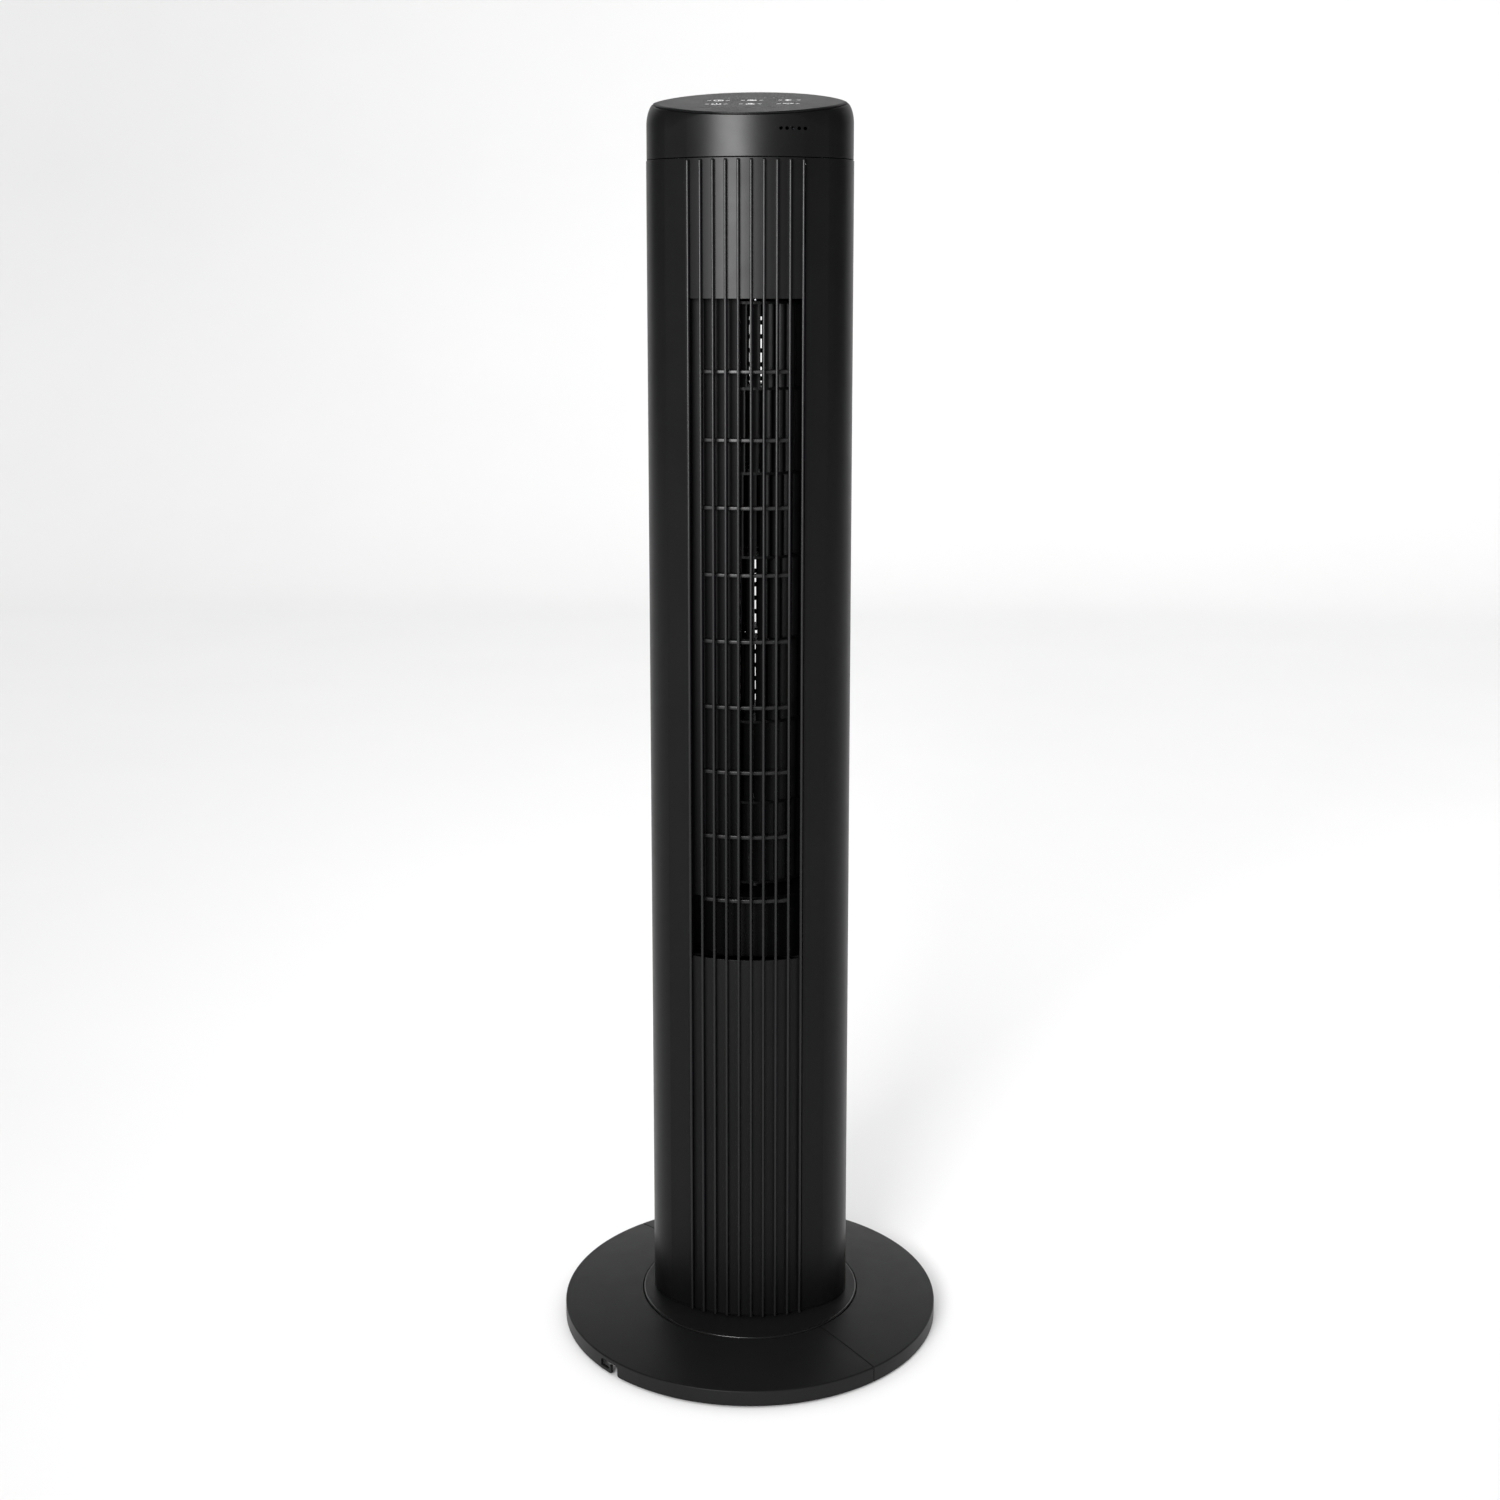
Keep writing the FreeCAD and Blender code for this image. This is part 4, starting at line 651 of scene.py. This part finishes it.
def make_front_shell():
    low, high = TOWER_BOTTOM, SEAM_HEIGHT - SHADOW_GAP
    left = soften(side_strip(), 0.6)
    points, faces = [], []
    loft_into(points, faces, prism_rings(left, low, high, 0.35))
    loft_into(points, faces, prism_rings(mirrored(left), low, high, 0.35))
    tie_front = -PANEL_EDGE_DEPTH + JAMB_DEPTH - TIE_FORWARD
    tie_half = PANEL_HALF + TIE_OVERLAP
    for tie in TIE_HEIGHTS:
        rings = box_rings(-tie_half, tie_half, tie_front, tie_front + TIE_THICKNESS, tie, tie + TIE_WIDTH)
        loft_into(points, faces, rings)
    for z in BOSS_HEIGHTS:
        for x in (-BOSS_HALF_SPACING, BOSS_HALF_SPACING):
            boss = rod_rings((x, -BOSS_FRONT, z), BOSS_RADIUS, (0, 1, 0), BOSS_SPLIT + BOSS_FRONT)
            loft_into(points, faces, boss)
    made = piece("front_shell_skin", points, faces, "shell_plastic")
    smooth_shading(made)
    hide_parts("front_shell")
    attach(made, "tower")


def make_rear_shell():
    low, high = TOWER_BOTTOM, SEAM_HEIGHT - SHADOW_GAP
    right = [p for p in right_arc(60) if p.y >= SPLIT_HALF]
    right.insert(0, flat(HALF_WIDTH, SPLIT_HALF))
    left = [p for p in left_arc(60) if p.y >= SPLIT_HALF]
    left.append(flat(-HALF_WIDTH, SPLIT_HALF))
    outer = right + rear_arc()[1:] + left[1:]
    outline = outer + list(reversed(offset(outer, WALL, False)))
    points, faces = [], []
    loft_into(points, faces, prism_rings(soften(outline, 0.6), low, high, 0.35))
    made = piece("rear_shell_skin", points, faces, "shell_plastic")
    margin = INTAKE_FRAME + INTAKE_CLEARANCE
    half = INTAKE_HALF + margin
    window = soften([
        flat(-half, INTAKE_BOTTOM - margin),
        flat(half, INTAKE_BOTTOM - margin),
        flat(half, INTAKE_TOP + margin),
        flat(-half, INTAKE_TOP + margin),
    ], INTAKE_CORNER, 5)
    cutters = [[[Vector((p.x, y, p.y)) for p in window] for y in (HALF_DEPTH + CUT_BEYOND, 10.0)]]
    for z in BOSS_HEIGHTS:
        for x in (-BOSS_HALF_SPACING, BOSS_HALF_SPACING):
            seat = (x, BOSS_SPLIT + RECESS_DEPTH, z)
            cutters.append(rod_rings(seat, RECESS_RADIUS, (0, 1, 0), HALF_DEPTH))
    carve(made, cutters)
    tubes = []
    for z in BOSS_HEIGHTS:
        for x in (-BOSS_HALF_SPACING, BOSS_HALF_SPACING):
            start = (x, BOSS_SPLIT + BOSS_REAR_GAP, z)
            tubes.append(rod_rings(start, BOSS_RADIUS, (0, 1, 0), BOSS_REAR_LENGTH))
    add_solid(made, tubes)
    smooth_shading(made)
    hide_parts("rear_shell")
    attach(made, "tower")


def make_rear_grille():
    """Slats and mullions that follow the curve of the back, in a frame."""
    points, faces = [], []
    pitch = (INTAKE_TOP - INTAKE_BOTTOM) / INTAKE_ROWS
    half = INTAKE_HALF + INTAKE_FRAME
    count = 40

    def slat(low, high, depth):
        section = soften([flat(0, low), flat(depth, low), flat(depth, high), flat(0, high)], 0.6, 3)
        rings = []
        for i in range(count + 1):
            x = -half + 2 * half * i / count
            face = rear_face_y(x)
            rings.append([Vector((x, face - depth + p.x, p.y)) for p in section])
        loft_into(points, faces, rings)

    for row in range(1, INTAKE_ROWS):
        middle = INTAKE_BOTTOM + row * pitch
        slat(middle - SLAT_HEIGHT / 2, middle + SLAT_HEIGHT / 2, WALL)
    slat(INTAKE_BOTTOM - INTAKE_FRAME, INTAKE_BOTTOM + SLAT_HEIGHT / 2, WALL)
    slat(INTAKE_TOP - SLAT_HEIGHT / 2, INTAKE_TOP + INTAKE_FRAME, WALL)
    column = 2 * INTAKE_HALF / INTAKE_COLUMNS
    low, high = INTAKE_BOTTOM - INTAKE_FRAME, INTAKE_TOP + INTAKE_FRAME
    for i in range(INTAKE_COLUMNS + 1):
        x = -INTAKE_HALF + i * column
        reach = MULLION_WIDTH / 2
        x0, x1 = x - reach, x + reach
        if i == 0:
            x0 = -half
        if i == INTAKE_COLUMNS:
            x1 = half
        sink = 0.0 if i in (0, INTAKE_COLUMNS) else 0.4
        steps = 4
        outer = [x1 + (x0 - x1) * k / steps for k in range(steps + 1)]
        outline = [flat(u, rear_face_y(u) - sink) for u in outer]
        outline += [flat(u, rear_face_y(u) - WALL) for u in reversed(outer)]
        loft_into(points, faces, prism_rings(soften(outline, 0.4), low, high, 0.3, 2))
    made = piece("rear_grille_skin", points, faces, "shell_plastic")
    smooth_shading(made)
    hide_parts("rear_grille")
    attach(made, "tower")


# ---------------------------------------------------------------- ribbed front
def make_front_panel(name, node, low, high):
    """Curved plate behind the fins."""
    outer = [p for p in front_arc(72) if abs(p.x) < PANEL_HALF - 0.15]
    left = flat(-PANEL_HALF + 0.15, front_face_y(PANEL_HALF - 0.15))
    outer = [left] + outer + [flat(-left.x, left.y)]
    outline = outer + list(reversed(offset(outer, WALL, False)))
    points, faces = [], []
    loft_into(points, faces, prism_rings(soften(outline, 0.3), low, high, 0.25, 2))
    made = piece(name, points, faces, "front_plastic")
    smooth_shading(made)
    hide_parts(node)
    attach(made, "tower")


def fin_rings(x):
    """One full-height fin: round nose, rolled ends, and a deep web across the opening."""
    face = front_face_y(x)
    half = FIN_WIDTH / 2
    low = TOWER_BOTTOM + 0.3
    high = SEAM_HEIGHT - FIN_END_GAP
    shallow = face + FIN_SINK
    deep = face + FIN_DEPTH
    nose_steps = 10

    def ring(z, recede, rear):
        front = face - FIN_PROUD + recede
        outline = []
        for k in range(nose_steps + 1):
            t = math.pi * k / nose_steps
            outline.append(Vector((x - half * math.cos(t), front + half * (1 - math.sin(t)), z)))
        outline.append(Vector((x + half, rear, z)))
        outline.append(Vector((x - half, rear, z)))
        return outline

    web_low = OPENING_BOTTOM - RAIL_HEIGHT
    web_high = OPENING_TOP + RAIL_HEIGHT
    rings = [ring(low, FIN_FOOT_ROUND, shallow), ring(low + FIN_FOOT_ROUND, 0.0, shallow)]
    rings += [ring(web_low, 0.0, shallow), ring(web_low, 0.0, deep)]
    rings += [ring(web_high, 0.0, deep), ring(web_high, 0.0, shallow)]
    steps = 8
    for k in range(steps + 1):
        t = math.pi / 2 * k / steps
        rings.append(ring(high - FIN_END_ROUND * (1 - math.sin(t)),
                          (FIN_PROUD - half) * (1 - math.cos(t)), shallow))
    return rings


def make_outlet_grille():
    points, faces = [], []
    positions = [(i - (FIN_COUNT - 1) / 2) * FIN_PITCH for i in range(FIN_COUNT)]
    for x in positions:
        loft_into(points, faces, fin_rings(x))

    def cross_piece(low, high, front, depth, half):
        section = soften([flat(front, low), flat(front + depth, low),
                          flat(front + depth, high), flat(front, high)], 0.8, 4)
        count = 36
        rings = []
        for i in range(count + 1):
            x = -half + 2 * half * i / count
            rings.append([Vector((x, front_face_y(x) + p.x, p.y)) for p in section])
        loft_into(points, faces, rings)

    for i in range(BAR_COUNT):
        middle = BAR_TOP - i * BAR_PITCH
        cross_piece(middle - BAR_HEIGHT / 2, middle + BAR_HEIGHT / 2, FIN_DEPTH - BAR_DEPTH, BAR_DEPTH,
                    positions[-2])
    for low in (OPENING_BOTTOM - RAIL_HEIGHT, OPENING_TOP):
        cross_piece(low, low + RAIL_HEIGHT, WALL + 0.3, FIN_DEPTH - WALL - 0.3, positions[-1])
    made = piece("outlet_grille_skin", points, faces, "fin_plastic")
    smooth_shading(made)
    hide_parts("outlet_grille")
    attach(made, "tower")


# ---------------------------------------------------------------- cap and control panel
SLOPE = (PANEL_REAR_HEIGHT - PANEL_FRONT_HEIGHT) / (2 * HALF_DEPTH)


def slope_height(y):
    """Height of the control panel's face at a given y."""
    return (PANEL_FRONT_HEIGHT + PANEL_REAR_HEIGHT) / 2 + SLOPE * y


def smoothstep(value, low, high):
    t = min(max((value - low) / (high - low), 0.0), 1.0)
    return t * t * (3 - 2 * t)


def reach_to_face(point, inward):
    """How far inwards from a point of the outline the edge of the lens-shaped face lies."""
    reach = 0.0
    for shift in (-FACE_ARC_SHIFT, FACE_ARC_SHIFT):
        offset_point = point - flat(0, shift)
        along = offset_point.dot(inward)
        room = along ** 2 - offset_point.length_squared + FACE_ARC_RADIUS ** 2
        reach = max(reach, -along - math.sqrt(room))
    return reach


class Shoulder:
    """The cap's skin over one point of the tower's outline: upright, then rolled in to the face."""

    def __init__(self, point, inward):
        self.point = point
        self.inward = inward
        self.width = max(CREASE_ROUND, reach_to_face(point, inward))
        share = smoothstep(self.width, CREASE_ROUND, ROLL_WIDTH)
        self.height = CREASE_ROUND + (ROLL_HEIGHT - CREASE_ROUND) * share
        crest = point + inward * self.width
        self.crest_height = slope_height(crest.y)

    def at(self, angle):
        """Skin point at an angle of the roll, 0 where it starts and 90 degrees on the slope."""
        plan = self.point + self.inward * (self.width * (1 - math.cos(angle)))
        height = self.crest_height - self.height * (1 - math.sin(angle))
        return Vector((plan.x, plan.y, height))

    def drop(self, angle):
        """How far the skin lies under the slope plane at an angle of the roll."""
        p = self.at(angle)
        return slope_height(p.y) - p.z

    def angle_at_drop(self, drop):
        low, high = 0.0, math.pi / 2
        for _ in range(30):
            middle = (low + high) / 2
            if self.drop(middle) > drop:
                low = middle
            else:
                high = middle
        return low

    def at_drop(self, drop):
        """Skin point a given height under the slope plane, on the roll or on the upright side."""
        if self.drop(0.0) > drop:
            return self.at(self.angle_at_drop(drop))
        return Vector((self.point.x, self.point.y, slope_height(self.point.y) - drop))


def shoulders():
    outline = offset(soften(section_outline(), 1.2, 4, 6.0), CAP_INSET)
    inset_outline = offset(outline, 1.0)
    return [Shoulder(p, (q - p).normalized()) for p, q in zip(outline, inset_outline)]


def make_cap(skin):
    bottom = SEAM_HEIGHT + SHADOW_GAP
    split = (CONTROL_THICKNESS + CONTROL_GAP) / math.cos(math.atan(SLOPE))
    edge = 0.35
    rings = []

    def side_ring(z, move):
        ring = []
        for s in skin:
            plan = s.point + s.inward * move
            ring.append(Vector((plan.x, plan.y, z)))
        return ring

    rings.append(side_ring(bottom, CAP_WALL))
    rings.append(side_ring(bottom, edge))
    rings.append(side_ring(bottom + edge * 0.3, edge * 0.3))
    rings.append(side_ring(bottom + edge, 0.0))
    for z in (bottom + 6.0, VENT_HEIGHT - 4.0, VENT_HEIGHT + 4.0):
        rings.append(side_ring(min(z, bottom + CAP_SIDE_HEIGHT), 0.0))
    rows = 12
    for k in range(rows + 1):
        ring = []
        for s in skin:
            roll_start = min(s.crest_height - s.height, s.at_drop(split + edge).z)
            end = s.angle_at_drop(split + edge) if s.drop(0.0) > split + edge else 0.0
            if end > 0.0:
                ring.append(s.at(end * k / rows))
            else:
                low = min(bottom + CAP_SIDE_HEIGHT + 0.5, roll_start)
                share = k / rows
                z = low + (s.at_drop(split + edge).z - low) * share
                ring.append(Vector((s.point.x, s.point.y, z)))
        rings.append(ring)
    lip = []
    ledge = []
    for s in skin:
        p = s.at_drop(split)
        lip.append(Vector((p.x + s.inward.x * edge, p.y + s.inward.y * edge, p.z)))
        reach = CAP_WALL + LEDGE_STEP
        q = Vector((p.x + s.inward.x * reach, p.y + s.inward.y * reach, 0.0))
        ledge.append(Vector((q.x, q.y, slope_height(q.y) - split)))
    rings.append(lip)
    rings.append(ledge)
    low_ledge = []
    for q in ledge:
        share = min(1.0, (q.z - bottom) / 30.0)
        low_ledge.append(Vector((q.x, q.y, q.z - LEDGE_DROP * share)))
    rings.append(low_ledge)
    points, faces = [], []
    loft_into(points, faces, rings, looped=True)
    made = piece("cap_skin", points, faces, "cap_plastic", sharp=CAP_SHARP_ANGLE)
    holes = []
    for i in range(VENT_COUNT):
        x = VENT_FIRST_X + i * VENT_PITCH
        holes.append(rod_rings((x, front_face_y(x) - 3, VENT_HEIGHT), VENT_RADIUS, (0, 1, 0), 9.0, 20))
    carve(made, holes)
    smooth_shading(made)
    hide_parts("top_cap")
    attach(made, "tower")


def make_control_panel(skin):
    base = CONTROL_THICKNESS / math.cos(math.atan(SLOPE))
    edge = 0.3
    rings = []
    under = []
    for s in skin:
        p = s.at_drop(base)
        under.append(Vector((p.x + s.inward.x * edge, p.y + s.inward.y * edge, p.z)))
    rings.append(under)
    rows = 12
    for k in range(rows + 1):
        ring = []
        for s in skin:
            start = s.angle_at_drop(base - edge) if s.drop(0.0) > base - edge else 0.0
            if k == 0 and start == 0.0:
                ring.append(s.at_drop(base - edge))
            else:
                ring.append(s.at(start + (math.pi / 2 - start) * k / rows))
        rings.append(ring)
    points, faces = [], []
    loft_into(points, faces, rings)
    made = piece("control_panel_skin", points, faces, "panel_gloss", sharp=CAP_SHARP_ANGLE)
    smooth_shading(made)
    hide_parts("control_panel")
    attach(made, "tower")
    return made


# ---------------------------------------------------------------- marks on the control panel
def on_slope(x, y, lift):
    """A point drawn on the control panel's face, lifted square to it."""
    tilt = math.atan(SLOPE)
    middle = (PANEL_FRONT_HEIGHT + PANEL_REAR_HEIGHT) / 2
    return Vector((x, y * math.cos(tilt) - lift * math.sin(tilt),
                   middle + y * math.sin(tilt) + lift * math.cos(tilt)))


def mark_rings(outline):
    return [[on_slope(p.x, p.y, lift) for p in outline] for lift in (-MARK_SINK, MARK_LIFT)]


def stroke(path, width=MARK_LINE):
    """A printed line of even width along an open path."""
    return offset(path, -width / 2, False) + list(reversed(offset(path, width / 2, False)))


def ring_stroke(x, y, radius, start, end, count=28):
    path = []
    for i in range(count + 1):
        t = math.radians(start + (end - start) * i / count)
        path.append(flat(x + radius * math.cos(t), y + radius * math.sin(t)))
    return stroke(path)


def line_stroke(x0, y0, x1, y1):
    start, end = flat(x0, y0), flat(x1, y1)
    return stroke([start, start.lerp(end, 0.5), end])


def dot(x, y, radius):
    turns = [math.pi * k / 8 for k in range(16)]
    return [flat(x + radius * math.cos(t), y + radius * math.sin(t)) for t in turns]


def icon_power(x, y):
    return [ring_stroke(x, y, MARK_RADIUS, 125, 415), line_stroke(x, y + 0.6, x, y + MARK_RADIUS + 1.0)]


def icon_clock(x, y):
    return [
        ring_stroke(x, y, MARK_RADIUS, 0, 356),
        line_stroke(x, y, x, y + 2.2),
        line_stroke(x, y, x + 1.8, y - 0.6),
    ]


def icon_swing(x, y):
    sweep = ring_stroke(x, y - 1.5, MARK_RADIUS + 0.6, 35, 145)
    tips = []
    for side in (-1, 1):
        tip_x = x + side * (MARK_RADIUS + 0.3)
        tips.append(line_stroke(tip_x, y + 0.8, tip_x - side * 0.3, y + 2.6))
        tips.append(line_stroke(tip_x, y + 0.8, tip_x - side * 1.9, y + 0.9))
    return [sweep, dot(x, y - 2.2, 0.9)] + tips


def icon_speed(x, y):
    marks = [dot(x, y, 0.9)]
    for lobe in (90, 210, 330):
        t = math.radians(lobe)
        centre_x, centre_y = x + 2.0 * math.cos(t), y + 2.0 * math.sin(t)
        marks.append(ring_stroke(centre_x, centre_y, 1.35, lobe - 170, lobe + 120, 16))
    return marks


def icon_wave(x, y):
    marks = []
    for row in (-1.8, 0.0, 1.8):
        path = []
        for k in range(17):
            u = -MARK_RADIUS + 2 * MARK_RADIUS * k / 16
            path.append(flat(x + u, y + row + 0.6 * math.sin(2 * math.pi * k / 16)))
        marks.append(stroke(path))
    return marks


def icon_moon(x, y):
    outer = [flat(x + MARK_RADIUS * math.cos(math.radians(a)), y + MARK_RADIUS * math.sin(math.radians(a)))
             for a in range(60, 301, 12)]
    inner = [flat(x + 1.5 + 2.75 * math.cos(math.radians(a)), y + 2.75 * math.sin(math.radians(a)))
             for a in range(268, 91, -12)]
    return [outer + inner]


def make_marks():
    """Generic touch icons, each with a short bar on either side, and a row of small lights behind them."""
    drawings = [icon_power, icon_speed, icon_swing, icon_clock, icon_wave, icon_moon]
    outlines = []
    for i, y in enumerate(MARK_ROWS):
        for k, x in enumerate(MARK_COLUMNS):
            outlines += drawings[i * len(MARK_COLUMNS) + k](x, y)
            for side in (-1, 1):
                bar_x = x + side * (MARK_RADIUS + MARK_BAR_OFFSET)
                outlines.append(line_stroke(bar_x - MARK_BAR_HALF, y, bar_x + MARK_BAR_HALF, y))
    points, faces = [], []
    for outline in outlines:
        loft_into(points, faces, mark_rings(outline))
    marks = piece("panel_icons", points, faces, "icon_print")
    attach(marks, "tower")
    points, faces = [], []
    for i in range(LIGHT_COUNT):
        outline = dot(LIGHT_FIRST_X + i * LIGHT_PITCH, LIGHT_ROW, LIGHT_RADIUS)
        loft_into(points, faces, mark_rings(outline))
    lights = piece("panel_lights", points, faces, "light_lens")
    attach(lights, "tower")


# ---------------------------------------------------------------- the whole fan
def make_fan():
    make_base_half("base_front_skin", "base_front_half", SEAM_BEARING - 180.0)
    make_base_half("base_rear_skin", "base_rear_half", SEAM_BEARING)
    make_turntable_rim()
    make_front_shell()
    make_rear_shell()
    make_rear_grille()
    make_front_panel("upper_front_skin", "upper_front_panel", OPENING_TOP, SEAM_HEIGHT - SHADOW_GAP)
    make_front_panel("lower_front_skin", "lower_front_panel", TOWER_BOTTOM, OPENING_BOTTOM)
    make_outlet_grille()
    skin = shoulders()
    make_cap(skin)
    make_control_panel(skin)
    make_marks()


# ---------------------------------------------------------------- camera, light and floor
CAMERA_DISTANCE = 1.5647       # from the swing axis, along the floor
CAMERA_HEIGHT = 0.8597
CAMERA_BEARING = math.radians(4.0)
CAMERA_PITCH = math.radians(9.0)
CAMERA_LENS = 47.57
CAMERA_SHIFT = -0.105


def make_camera():
    data = bpy.data.cameras.new("camera")
    data.lens = CAMERA_LENS
    data.sensor_width = 36.0
    data.shift_y = CAMERA_SHIFT
    camera = bpy.data.objects.new("camera", data)
    bpy.context.collection.objects.link(camera)
    camera.location = (
        CAMERA_DISTANCE * math.sin(CAMERA_BEARING),
        -CAMERA_DISTANCE * math.cos(CAMERA_BEARING),
        CAMERA_HEIGHT,
    )
    camera.rotation_euler = (math.pi / 2 - CAMERA_PITCH, 0.0, CAMERA_BEARING)
    bpy.context.scene.camera = camera


def area_light(name, bearing, distance, height, size, aim_height, power, spread):
    """A soft box at a bearing from the front (positive to the viewer's right), aimed at the axis."""
    angle = math.radians(bearing)
    place = Vector((distance * math.sin(angle), -distance * math.cos(angle), height))
    data = bpy.data.lights.new(name, "AREA")
    data.shape = "RECTANGLE"
    data.size, data.size_y = size
    data.energy = power
    data.spread = math.radians(spread)
    light = bpy.data.objects.new(name, data)
    bpy.context.collection.objects.link(light)
    light.location = place
    toward = Vector((0.0, 0.0, aim_height)) - place
    light.rotation_euler = toward.to_track_quat("-Z", "Y").to_euler()
    return light


def make_lights():
    area_light("key_front_left", bearing=-17.0, distance=1.9, height=1.1, size=(0.85, 0.9),
               aim_height=0.95, power=16.0, spread=66.0)
    area_light("fill_front", bearing=-4.0, distance=2.0, height=0.85, size=(0.5, 0.5),
               aim_height=0.85, power=1.3, spread=60.0)


def make_floor():
    """Pale floor that curves up into a pale backdrop, far behind the fan."""
    mesh = bpy.data.meshes.new("floor")
    half = 7.0
    front = -6.0
    back = 3.5
    rise = 5.0
    bend = 1.2
    outline = [(front, 0.0), (back, 0.0)]
    steps = 16
    for i in range(1, steps + 1):
        angle = math.pi / 2 * i / steps
        outline.append((back + bend * math.sin(angle), bend * (1 - math.cos(angle))))
    outline.append((back + bend, rise))
    points = []
    for y, z in outline:
        points.append((-half, y, z))
        points.append((half, y, z))
    faces = [(2 * i, 2 * i + 1, 2 * i + 3, 2 * i + 2) for i in range(len(outline) - 1)]
    mesh.from_pydata(points, [], faces)
    for face in mesh.polygons:
        face.use_smooth = True
    floor = bpy.data.objects.new("floor", mesh)
    bpy.context.collection.objects.link(floor)
    material, nodes, links, shader = node_tree("pale_floor")
    shader.inputs["Roughness"].default_value = 0.9
    place = nodes.new("ShaderNodeTexCoord")
    noise = nodes.new("ShaderNodeTexNoise")
    noise.inputs["Scale"].default_value = 3.0
    links.new(place.outputs["Object"], noise.inputs["Vector"])
    tint = nodes.new("ShaderNodeMix")
    tint.data_type = "RGBA"
    tint.inputs["A"].default_value = (0.8, 0.8, 0.8, 1.0)
    tint.inputs["B"].default_value = (0.82, 0.82, 0.82, 1.0)
    links.new(noise.outputs["Fac"], tint.inputs["Factor"])
    links.new(tint.outputs["Result"], shader.inputs["Base Color"])
    mesh.materials.append(material)


def make_world():
    world = bpy.data.worlds.new("studio")
    world.use_nodes = True
    shade = world.node_tree.nodes["Background"]
    shade.inputs["Color"].default_value = (1.0, 1.0, 1.0, 1.0)
    shade.inputs["Strength"].default_value = 1.15
    bpy.context.scene.world = world
    world.cycles_visibility.glossy = False


dress_cad_nodes()
make_fan()
make_camera()
make_lights()
make_floor()
make_world()
bpy.context.scene.view_settings.view_transform = "Standard"
